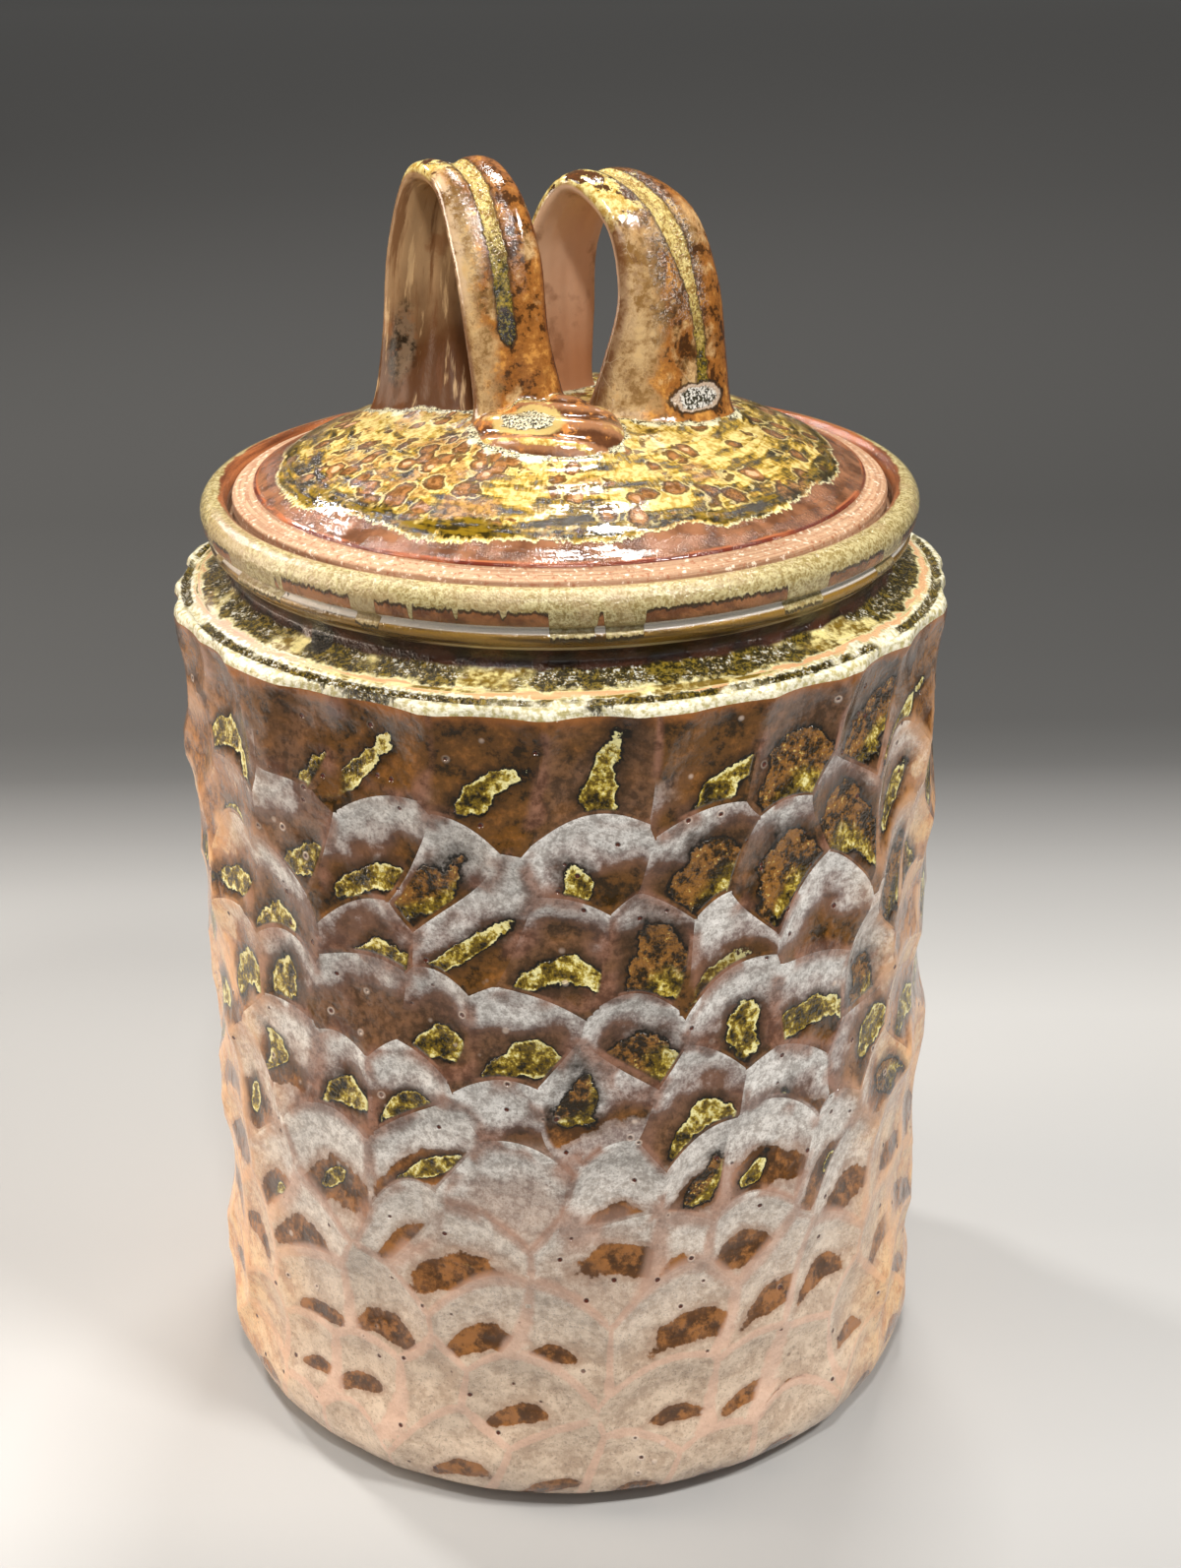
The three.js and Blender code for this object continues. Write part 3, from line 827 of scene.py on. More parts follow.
# Pinholes, with a pale lip round some
hole, hole_tint = cells(place, pinhole_spacing)
pitted = between(split(hole_tint)[0], 0.38, 0.43)
pinhole = both(between(hole, 0.13, 0.07), pitted)
lip = both(between(hole, 0.22, 0.14), pitted, between(clouds, 0.5, 0.6))
colour = laid(colour, pinhole_lip, lip, 0.6)
colour = laid(colour, pinhole_red, pinhole)

roughness = scaled(thin, 0.14, 0.12)
roughness = scaled(pool, 0.06, roughness)
relief = stacked(
    (pinhole, -0.35), (lip, 0.1), (both(pool, grain), 0.3), (specks, 0.1), (both(grain, thin), 0.08),
    (noise(place, 6 * mm, 3), 0.6), (billows, 1.2),
)
dress(colour, roughness, relief)

# On the shoulder, neck and rim the glaze lies thick: cream and yellow on the bead and rim, olive
# near the neck, with brown where it ran off the rim and left the throwing groove bare.
shoulder_ochre = tint(124, 98, 32)
shoulder_yellow = tint(236, 220, 150)
shoulder_black = tint(48, 40, 8)
shoulder_olive = tint(152, 128, 42)
painted_glint_white = tint(240, 240, 232)
bead_straw = tint(184, 172, 120)
bead_cream = tint(240, 234, 208)
ring_orange = tint(196, 122, 70)
ring_peach = tint(230, 176, 130)
ring_cream = tint(236, 228, 176)
neck_black = tint(34, 20, 12)
neck_brown = tint(78, 46, 30)
flange_olive = tint(70, 48, 14)
flange_ochre = tint(150, 114, 48)
flange_edge = tint(208, 190, 146)
groove_white = tint(226, 218, 206)
gap_brown = tint(112, 66, 34)
gap_amber = tint(160, 104, 60)
lump_black = tint(18, 14, 10)
lump_grey = tint(84, 76, 62)
rim_olive = tint(142, 122, 72)
rim_straw = tint(196, 182, 134)
rim_tan = tint(170, 144, 106)
drip_dark = tint(52, 40, 26)
lip_umber = tint(112, 62, 36)
lip_orange = tint(170, 102, 60)
gallery_cream = tint(206, 192, 180)
olive_to = wall_radius - 5.8 * mm
ring_from = wall_radius - 5.7 * mm
ring_to = wall_radius - 4.1 * mm
cream_from = wall_radius - 4.4 * mm
line_from = wall_radius - 3.5 * mm
line_to = wall_radius - 1.7 * mm
neck_from = shoulder_height + 5.2 * mm
flange_from = shoulder_height + 9.2 * mm
groove_from = ledge_height - 2.2 * mm
groove_to = ledge_height - 0.5 * mm
drips_from = ledge_height - 3 * mm
drip_range = 5.2 * mm
lump_place = (-43.5 * mm, -49.5 * mm, 177.5 * mm)
lump_radius = 3 * mm

rim_glaze, tree, place = new_glaze("shoulder_and_rim_glaze")
x, y, height = split(place)


def flat_and_radius(x, y):
    """The place with no height, and how far it is from the jar's axis."""
    flat = joined(x, y, 0.0)
    return flat, vector_maths("LENGTH", flat)["Value"]


def round_the_axis(place, reach, across):
    """A place for noise that follows the throwing rings, reach long and across wide."""
    x, y, height = split(place)
    flat, radius = flat_and_radius(x, y)
    turned = split(vector_maths("NORMALIZE", flat)[0])
    factor = neck_radius * across / reach
    return joined(both(turned[0], factor), both(turned[1], factor), radius), height


_, radius = flat_and_radius(x, y)
rings, rings_up = round_the_axis(place, 22 * mm, 1.6 * mm)
streaks = noise(rings, 1.6 * mm, 3, 0.6, rings_up)
feather_place, feather_up = round_the_axis(place, 0.8 * mm, 3 * mm)
feather = noise(feather_place, 3 * mm, 3, 0.6, feather_up)
patches = noise(place, 17 * mm, 3)
mottle = noise(place, 5 * mm, 3)
specks = noise(place, 1.1 * mm, 3)
grain = noise(place, 0.45 * mm, 2)
ragged = shifted(shifted(radius, feather, 2 * mm), mottle, 4.4 * mm)

# Shoulder, from the neck outward: olive, yellow, an orange ring, cream, a dark line, the cream bead
strokes = shifted(shifted(specks, streaks, 0.5), mottle, 1.2)
yellow = graded(strokes, 0.3, 0.7, shoulder_ochre, shoulder_yellow)
olive = graded(shifted(specks, grain, 0.8), 0.4, 0.64, shoulder_black, shoulder_olive)
cream = graded(specks, 0.35, 0.6, bead_straw, bead_cream)
orange = graded(streaks, 0.35, 0.65, ring_orange, ring_peach)
deep = between(shifted(ragged, specks, 2 * mm), olive_to, olive_to - 1.2 * mm)
deep = both(deep, between(patches, 0.38, 0.46))
# The white flecks laid on the olive are painted glints
painted_glints = both(between(shifted(specks, grain, 1.2), 0.6, 0.68), between(mottle, 0.46, 0.54))
olive = laid(olive, painted_glint_white, painted_glints)
shoulder = mixed(deep, yellow, olive)
ring = both(within(ragged, ring_from, ring_to, 0.5 * mm), between(streaks, 0.42, 0.5))
ring_edge = within(ragged, ring_from - 0.5 * mm, ring_to + 0.5 * mm, 0.5 * mm)
ring_edge = both(ring_edge, between(streaks, 0.38, 0.46))
shoulder = laid(shoulder, ring_cream, ring_edge, 0.8)
shoulder = laid(shoulder, orange, ring, 0.85)
shoulder = graded(shifted(ragged, streaks, 2 * mm), cream_from, cream_from + 0.6 * mm, shoulder, cream)
groove = shifted(radius, feather, 1.4 * mm)
line = both(within(groove, line_from, line_to, 0.3 * mm), between(patches, 0.4, 0.46))
shoulder = laid(shoulder, olive, line)

# Neck and the underside of the rim's flange
brown = graded(mottle, 0.35, 0.65, neck_black, neck_brown)
flange = graded(streaks, 0.35, 0.6, flange_olive, flange_ochre)
colour = graded(shifted(height, mottle, 1.6 * mm), neck_from, neck_from + 0.6 * mm, shoulder, brown)
colour = graded(height, flange_from, flange_from + 0.3 * mm, colour, flange)
lower_edge = within(height, flange_from + 0.1 * mm, flange_from + 0.8 * mm, 0.3 * mm)
lower_edge = both(lower_edge, between(streaks, 0.4, 0.55))
colour = laid(colour, flange_edge, lower_edge)
colour = mixed(within(height, groove_from, groove_to, 0.3 * mm), colour, groove_white)
gap = graded(mottle, 0.4, 0.6, gap_brown, gap_amber)
colour = graded(height, groove_to - 0.2 * mm, groove_to + 0.1 * mm, colour, gap)

# A lump of glaze has run and burnt black on the neck's front left
lump = vector_maths("DISTANCE", place, lump_place)["Value"]
lump = shifted(shifted(lump, mottle, 4 * mm), specks, 1.5 * mm)
lump = between(lump, lump_radius + 0.4 * mm, lump_radius)
colour = mixed(lump, colour, graded(grain, 0.5, 0.62, lump_black, lump_grey))

# The rim's cream glaze runs down over the groove, and leaves gaps that show the groove and brown
drip_place, _ = round_the_axis(place, 9 * mm, 60 * mm)
drips = noise(drip_place, 60 * mm, 2, 0.6)
drip_end = scaled(between(drips, 0.46, 0.48), drip_range, drips_from)
drip_end = shifted(shifted(drip_end, feather, 2.4 * mm), specks, 0.7 * mm)
past_end = maths("SUBTRACT", height, drip_end)
on_rim = both(
    between(radius, rim_radius - 1.6 * mm, rim_radius - 0.6 * mm),
    between(height, flange_from + 0.4 * mm, flange_from + 1.8 * mm),
)
covered = both(between(past_end, -0.1 * mm, 0.15 * mm), on_rim)
drip_edge = both(within(past_end, -0.5 * mm, 0.2 * mm, 0.3 * mm), on_rim)
rim_cream = graded(shifted(specks, grain, 1.0), 0.3, 0.7, rim_olive, rim_straw)
rim_cream = laid(rim_cream, rim_tan, between(patches, 0.5, 0.62), 0.5)
colour = laid(colour, rim_cream, covered)
colour = laid(colour, drip_dark, drip_edge, 0.85)

# The rim's inner edge is orange brown, broadest at the back, and the gallery's wall is cream
side = between(y, -30 * mm, 50 * mm)
inner_edge = scaled(side, 2.2 * mm, 65.3 * mm)
inner_edge = shifted(shifted(inner_edge, mottle, 2.6 * mm), feather, 1 * mm)
inner_rim = between(maths("SUBTRACT", radius, inner_edge), 0.3 * mm, -0.2 * mm)
inner_rim = both(inner_rim, between(height, ledge_height + 1 * mm, ledge_height + 2 * mm))
red_brown = graded(streaks, 0.35, 0.65, lip_umber, lip_orange)
colour = laid(colour, red_brown, inner_rim)
gallery_wall = both(
    between(radius, gallery_radius + 0.8 * mm, gallery_radius + 0.4 * mm),
    between(height, ledge_height + 3.6 * mm, ledge_height + 3 * mm),
    between(height, ledge_height, ledge_height + 1 * mm),
)
colour = laid(colour, gallery_cream, gallery_wall)

crystal = both(either(deep, line), between(height, neck_from + 1.8 * mm, neck_from + 0.3 * mm))
relief = stacked(
    (both(crystal, grain), 1.3), (both(crystal, specks), 0.8), (grain, 0.2), (specks, 0.12),
    (covered, 0.3), (mottle, 0.25),
)
dress(colour, 0.08, relief)

# Where the lid seats and under the foot the clay is bare: pink-tan stoneware with throwing lines.
clay_tan = tint(144, 108, 78)
clay_pink = tint(190, 152, 118)
iron_speck = tint(150, 98, 66)
grog_speck = tint(226, 204, 180)

bare_clay, tree, place = new_glaze("bare_clay", 1.45, 0)
rings, rings_up = round_the_axis(place, 40 * mm, 0.6 * mm)
lines = noise(rings, 0.6 * mm, 2, 0.6, rings_up)
specks = noise(place, 0.9 * mm, 3)
colour = graded(lines, 0.3, 0.7, clay_tan, clay_pink)
colour = graded(specks, 0.56, 0.66, colour, iron_speck)
colour = graded(specks, 0.42, 0.32, colour, grog_speck)
relief = stacked((specks, 0.1), (lines, 0.12))
dress(colour, 0.72, relief)

# Inside the jar and under the lid the glaze is a plain glossy brown with dark specks.
inside_umber = tint(104, 64, 38)
inside_brown = tint(156, 106, 62)
inside_speck = tint(60, 36, 22)

inside_glaze, tree, place = new_glaze("inside_glaze")
mottle = noise(place, 14 * mm, 4)
specks = noise(place, 1.5 * mm, 2)
colour = graded(mottle, 0.35, 0.65, inside_umber, inside_brown)
colour = graded(specks, 0.64, 0.74, colour, inside_speck)
relief = stacked((specks, 0.05), (mottle, 0.8))
dress(colour, 0.16, relief)

modifier = turned_body.modifiers.new("scooped_wall", "NODES")
modifier.node_group = scooping
modifier[plan_socket.identifier] = scoop_plan
modifier[finish_socket.identifier] = wall_glaze
for name, size in scoop_sizes.items():
    modifier[size_sockets[name].identifier] = float(size)
bpy.context.view_layer.update()
seen = turned_body.evaluated_get(bpy.context.evaluated_depsgraph_get())
jar_mesh = bpy.data.meshes.new_from_object(seen)
jar_body = new_piece("jar_body_visual", jar_mesh)
bpy.data.objects.remove(turned_body)
bpy.data.objects.remove(scoop_plan)
for finish in (rim_glaze, bare_clay, inside_glaze):
    jar_mesh.materials.append(finish)


def finish_of_band(band):
    """Which of the body's four finishes lies between a ring and the next."""
    radius, height = (body_outline[band] + body_outline[band + 1]) / 2
    if band < len(underside) - 1:
        return 0 if radius > wall_radius - 6 * mm else 2
    if band < len(underside) + len(wall):
        return 0
    on_ledge = height < ledge_height + 3 * mm and height > ledge_height - 1 * mm
    if radius < gallery_radius + 0.2 * mm and on_ledge:
        return 2
    return 3 if radius < bore_radius + 1 * mm or band >= inside_start - 8 else 1


band_finishes = [finish_of_band(band) for band in range(len(body_outline) - 1)]
jar_mesh.polygons.foreach_set("material_index", [band_finishes[band] for band in band_of_face])
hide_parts("jar_body")
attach(jar_body, "jar")

# The lid is thrown upside down and trimmed: a dome with a flat seat that drops in the gallery.
# Ash-yellow glaze covers the dome and runs to a ragged edge. The band round it is bare clay.
lid_radius = gallery_radius - 0.9 * mm
lid_seat = ledge_height + 0.3 * mm
lid_thickness = 5.2 * mm
band_height = lid_seat + 5.6 * mm
dome_edge_radius = lid_radius - 4.4 * mm
dome_edge_height = band_height + 1.1 * mm
dome_rise = 14.3 * mm
crown = dome_edge_height + dome_rise
lid_columns = 360


def dome_height(radius):
    """The height of the lid's top at a radius, level past the dome's edge."""
    return dome_edge_height + dome_rise * (1 - (min(radius, dome_edge_radius) / dome_edge_radius) ** 2.5)


seat_inside = lid_radius - 8.4 * mm
under_steps = [(seat_inside - 2 * mm) * k / 24 for k in range(25)]
lid_under = [Vector((radius, dome_height(radius) - lid_thickness)) for radius in under_steps]
lid_edge = soft_outline([
    (seat_inside - 1.6 * mm, lid_seat + 1.6 * mm, 0), (seat_inside - 0.8 * mm, lid_seat, 0.6 * mm),
    (lid_radius, lid_seat, 0.8 * mm), (lid_radius, band_height - 0.3 * mm, 0.9 * mm),
    (dome_edge_radius + 0.3 * mm, dome_edge_height - 0.5 * mm, 0.4 * mm),
    (dome_edge_radius + 0.2 * mm, dome_edge_height + 0.1 * mm, 0.4 * mm),
    (dome_edge_radius - 1.5 * mm, dome_height(dome_edge_radius - 1.5 * mm), 0),
], 0.6 * mm)
dome_steps = [(dome_edge_radius - 2.2 * mm) * (1 - k / 70) for k in range(71)]
lid_dome = []
for radius in dome_steps:
    throwing_ring = 0.1 * mm * sin(2 * pi * radius / (6.3 * mm)) * min(1, radius / (10 * mm))
    lid_dome.append(Vector((radius, dome_height(radius) + throwing_ring)))
lid_outline = lid_under + lid_edge + lid_dome
lid_ring_columns = [lid_columns // 2] * len(lid_under) + [lid_columns] * (len(lid_edge) + len(lid_dome))
lid_ring_columns[0] = lid_ring_columns[-1] = 1
lid_mesh, lid_band_of_face = turned_mesh("lid_visual", lid_outline, lid_ring_columns)

# Each handle is one pulled strap of stoneware, bent over and pressed on to the dome. The stations
# give its two edges, as shares of the handle's height from the crown, then its thickness, its bow
# and its thumb groove's depth, as shares of the strap's thickness.
handle_height = 45 * mm
strap_thickness = 5.1 * mm
left_stations = [
    ((-0.844, 0.189, -0.3), (-0.3, -0.3, -0.25), (2.3, 0.24, 0.04)),
    ((-0.791, 0.213, -0.07), (-0.333, -0.16, 0), (1.45, 0.14, 0.1)),
    ((-0.751, 0.244, 0.24), (-0.342, 0.044, 0.26), (1, 0.08, 0.18)),
    ((-0.716, 0.244, 0.61), (-0.324, 0.156, 0.62), (1, 0.04, 0.2)),
    ((-0.622, 0.133, 0.92), (-0.267, 0.133, 0.95), (1, -0.04, 0.31)),
    ((-0.502, -0.089, 0.91), (-0.151, -0.067, 0.88), (1, 0, 0.29)),
    ((-0.431, -0.222, 0.67), (-0.067, -0.2, 0.66), (1, 0.16, 0.2)),
    ((-0.382, -0.3, 0.35), (-0.036, -0.267, 0.34), (1, 0.2, 0.16)),
    ((-0.351, -0.322, 0.04), (0.027, -0.256, 0.04), (1.15, 0.2, 0.08)),
    ((-0.356, -0.356, -0.25), (0.076, -0.267, -0.25), (1.5, 0.2, 0)),
]
right_stations = [
    ((-0.133, -0.022, -0.25), (0.133, 0.178, -0.25), (1.5, 0.06, 0.04)),
    ((-0.107, 0.044, 0), (0.133, 0.2, 0), (1.2, 0.06, 0.1)),
    ((-0.116, 0.078, 0.33), (0.151, 0.244, 0.3), (1, 0.04, 0.16)),
    ((-0.111, 0.067, 0.68), (0.178, 0.267, 0.64), (1, 0.04, 0.2)),
    ((0.036, -0.078, 0.91), (0.311, 0.189, 0.88), (1, 0.04, 0.22)),
    ((0.2, -0.222, 0.78), (0.551, 0.089, 0.78), (1, 0.16, 0.22)),
    ((0.251, -0.289, 0.49), (0.667, 0.022, 0.5), (1, 0.31, 0.2)),
    ((0.189, -0.289, 0.23), (0.707, 0.011, 0.19), (1, 0.59, 0.16)),
    ((0.122, -0.256, 0), (0.733, 0.011, -0.07), (1.35, 1.06, 0.06)),
    ((0.089, -0.262, -0.27), (0.767, 0, -0.32), (2.3, 1.49, 0)),
]
strap_steps = 240
strap_sides = 96
look_ahead = 1 / 40
foot_depth = 2.4 * mm
strap_rise = -0.12 * mm
groove_width = 0.3
inner_groove = 0.45
pull_marks = 0.16 * mm
foot_flare = 1.1 * mm
flare_height = 1.3 * mm
skin_cell = 0.42 * mm
skin_smoothing = 6
smoothing_strength = 0.5
pad_rows = 48
pad_columns = 96
pad_size = (14.8 * mm, 12.4 * mm, 5.8 * mm)
pad_turn = radians(-24)
pad_tilt = radians(14)
pad_place = (-0.05, -0.46)
pad_sink = 1.4 * mm
pad_ridge = 0.55 * mm
ridge_pitch = 14
thumb_centre = 0.75
thumb_squash = 0.8


def smooth_at(points, share):
    """A point on the smooth curve through all the points, at a share of its way from 0 to 1."""
    place = min(max(share, 0), 1) * (len(points) - 1)
    k = min(int(place), len(points) - 2)
    t = place - k
    p1, p2 = points[k], points[k + 1]
    p0 = points[k - 1] if k > 0 else 2 * p1 - p2
    p3 = points[k + 2] if k + 2 < len(points) else 2 * p2 - p1
    d1 = (p2 - p1).length_squared ** 0.25
    d0 = (p1 - p0).length_squared ** 0.25
    d2 = (p3 - p2).length_squared ** 0.25
    lean1 = ((p1 - p0) / d0 - (p2 - p0) / (d0 + d1) + (p2 - p1) / d1) * d1
    lean2 = ((p2 - p1) / d1 - (p3 - p1) / (d1 + d2) + (p3 - p2) / d2) * d1
    cube = 2 * p1 - 2 * p2 + lean1 + lean2
    square = -3 * p1 + 3 * p2 - 2 * lean1 - lean2
    return p1 + lean1 * t + square * t * t + cube * t ** 3


def over_dome(point):
    """How high a point is over the lid's dome."""
    return point.z - dome_height(hypot(point.x, point.y))


def strap_points(stations, drift):
    """The strap's surface as rings of (point, along, side, face). Its groove drifts to one side."""
    scale = Matrix.Diagonal((handle_height, handle_height, handle_height))
    up = Vector((0, 0, crown + strap_rise))
    left = [scale @ Vector(station[0]) + up for station in stations]
    right = [scale @ Vector(station[1]) + up for station in stations]
    forms = [Vector(station[2]) for station in stations]
    rings = []
    for i in range(strap_steps + 1):
        along = i / strap_steps
        ends = [smooth_at(left, along), smooth_at(right, along)]
        centre = (ends[0] + ends[1]) / 2
        if over_dome(centre) < -foot_depth - 1 * mm:
            continue
        across = (ends[1] - ends[0]) / 2
        before, after = along - look_ahead, along + look_ahead
        ahead = smooth_at(left, after) + smooth_at(right, after)
        ahead = ahead - smooth_at(left, before) - smooth_at(right, before)
        outward = ahead.cross(across).normalized()
        thick, bow, groove = smooth_at(forms, along) * strap_thickness
        groove_side = drift * min(1, max(0, (along - 0.5) / 0.3))
        ring = []
        for k in range(strap_sides):
            angle = 2 * pi * k / strap_sides
            side = cos(angle)
            face = abs(sin(angle)) ** 0.7 * (1 if sin(angle) > 0 else -1)
            dip = groove * exp(-((side - groove_side) / groove_width) ** 2)
            dip *= 1 if face > 0 else inner_groove
            pulled = pull_marks * sin(side * 11 + along * 5) * sin(side * 5 - along * 7)
            lift = bow * (1 - side * side) + face * (thick / 2 - dip + pulled)
            point = centre + across * side + outward * lift
            flare = foot_flare * exp(-max(0, over_dome(point)) / flare_height)
            apart = point - centre
            apart.z = 0
            point += apart.normalized() * flare
            point.z = max(point.z, dome_height(hypot(point.x, point.y)) - foot_depth)
            ring.append((point, along, side, face))
        rings.append(ring)
    return rings


def close_rings(faces, start, rings, sides):
    """Adds the faces between rings of points, and a cap at either end."""
    for i in range(rings - 1):
        for k in range(sides):
            a = start + i * sides + k
            b = start + i * sides + (k + 1) % sides
            faces.append((a, b, b + sides, a + sides))
    last = start + (rings - 1) * sides
    faces.append(tuple(start + k for k in reversed(range(sides))))
    faces.append(tuple(last + k for k in range(sides)))


def add_strap(points, faces, rings):
    """Adds a strap's rings of points and its faces."""
    start = len(points)
    for ring in rings:
        points += ring
    close_rings(faces, start, len(rings), strap_sides)


def add_pad(points, faces):
    """The clay thumbed out in front of the left handle, with the ridges that the thumb left."""
    start = len(points)
    turn = Matrix.Rotation(pad_turn, 3, "Z") @ Matrix.Rotation(pad_tilt, 3, "X")
    middle = Vector((pad_place[0] * handle_height, pad_place[1] * handle_height, 0))
    middle.z = dome_height(middle.length) - pad_sink
    for row in range(1, pad_rows):
        lift = pi * row / pad_rows
        for column in range(pad_columns):
            angle = 2 * pi * column / pad_columns
            unit = Vector((sin(lift) * cos(angle), sin(lift) * sin(angle), -cos(lift)))
            thumbed = hypot(unit.x * thumb_squash, unit.y - thumb_centre)
            ridge = pad_ridge * sin(thumbed * ridge_pitch + unit.x) * max(0, unit.z + 0.2)
            point = Vector((unit.x * pad_size[0], unit.y * pad_size[1], unit.z * pad_size[2] + ridge))
            point = turn @ point + middle
            point.z = max(point.z, dome_height(hypot(point.x, point.y)) - foot_depth)
            points.append((point, 2 + unit.y, unit.x, 1))
    close_rings(faces, start, pad_rows - 1, pad_columns)


def fused_handle(name, points, faces):
    """Fuses the parts of a handle into one skin and carries the strap's own coordinates over to it."""
    rough = bpy.data.meshes.new(name)
    rough.from_pydata([entry[0] for entry in points], [], faces)
    raw = new_piece(name + "_raw", rough)
    remesh = raw.modifiers.new("fuse", "REMESH")
    remesh.mode = "VOXEL"
    remesh.voxel_size = skin_cell
    smooth = raw.modifiers.new("smooth", "SMOOTH")
    smooth.factor = smoothing_strength
    smooth.iterations = skin_smoothing
    bpy.context.view_layer.update()
    fused = bpy.data.meshes.new_from_object(raw.evaluated_get(bpy.context.evaluated_depsgraph_get()))
    bpy.data.objects.remove(raw)
    tree = kdtree.KDTree(len(points))
    for index, entry in enumerate(points):
        tree.insert(entry[0], index)
    tree.balance()
    strap = []
    foot = []
    for vertex in fused.vertices:
        total = 0
        found = Vector((0, 0, 0))
        for _, index, distance in tree.find_n(vertex.co, 4):
            weight = 1 / (distance + 0.05 * mm) ** 2
            found += weight * Vector(points[index][1:])
            total += weight
        strap += list(found / total)
        foot.append(over_dome(vertex.co))
    fused.attributes.new("strap", "FLOAT_VECTOR", "POINT").data.foreach_set("vector", strap)
    fused.attributes.new("foot", "FLOAT", "POINT").data.foreach_set("value", foot)
    fused.polygons.foreach_set("use_smooth", [True] * len(fused.polygons))
    fused.name = name
    return new_piece(name, fused)


left_points, left_faces = [], []
add_strap(left_points, left_faces, strap_points(left_stations, 0))
add_pad(left_points, left_faces)
left_handle = fused_handle("left_strap_handle_visual", left_points, left_faces)
right_points, right_faces = [], []
add_strap(right_points, right_faces, strap_points(right_stations, 0.45))
right_handle = fused_handle("right_strap_handle_visual", right_points, right_faces)

# The straps are glazed alike, in amber that breaks to beige and mauve, but each has its own run.
amber_umber = tint(70, 42, 18)
amber_brown = tint(152, 96, 42)
amber_gold = tint(204, 144, 70)
beige_shade = tint(148, 110, 62)
beige_light = tint(208, 180, 132)
freckle_brown = tint(98, 56, 22)
strap_edge = tint(98, 56, 32)
lip_beige = tint(216, 186, 150)
inner_pink = tint(178, 126, 90)
inner_cream = tint(214, 176, 144)
inner_blotch = tint(126, 76, 40)
inner_umber = tint(84, 52, 28)
inner_beige = tint(166, 134, 98)
reflection_streak_brown = tint(96, 58, 30)
reflection_streak_cream = tint(206, 172, 128)
patch_black = tint(30, 26, 18)
patch_grey = tint(116, 96, 76)
crackle_line = tint(232, 212, 172)
top_umber = tint(80, 50, 32)
top_mauve = tint(160, 106, 72)
island_ochre = tint(176, 140, 62)
island_yellow = tint(232, 216, 146)
island_outline = tint(66, 44, 24)
frost_brown = tint(84, 64, 54)
frost_grey = tint(200, 188, 176)
frost_line = tint(42, 32, 24)
run_ochre = tint(150, 112, 44)
run_yellow = tint(232, 208, 132)
run_outline = tint(72, 50, 30)
run_black = tint(50, 42, 6)
run_olive = tint(152, 128, 34)
drip_black = tint(38, 32, 8)
drip_olive = tint(112, 98, 30)
drip_outline = tint(52, 38, 26)
cluster_white = tint(226, 222, 214)
cluster_black = tint(52, 48, 30)
cluster_ring = tint(196, 172, 150)
pad_umber = tint(84, 50, 30)
pad_tan = tint(158, 110, 76)
pad_orange = tint(196, 128, 66)
pad_straw = tint(206, 180, 112)
pad_cream = tint(224, 216, 180)
pad_black = tint(60, 52, 34)
foot_cream = tint(222, 212, 170)
foot_black = tint(56, 52, 28)


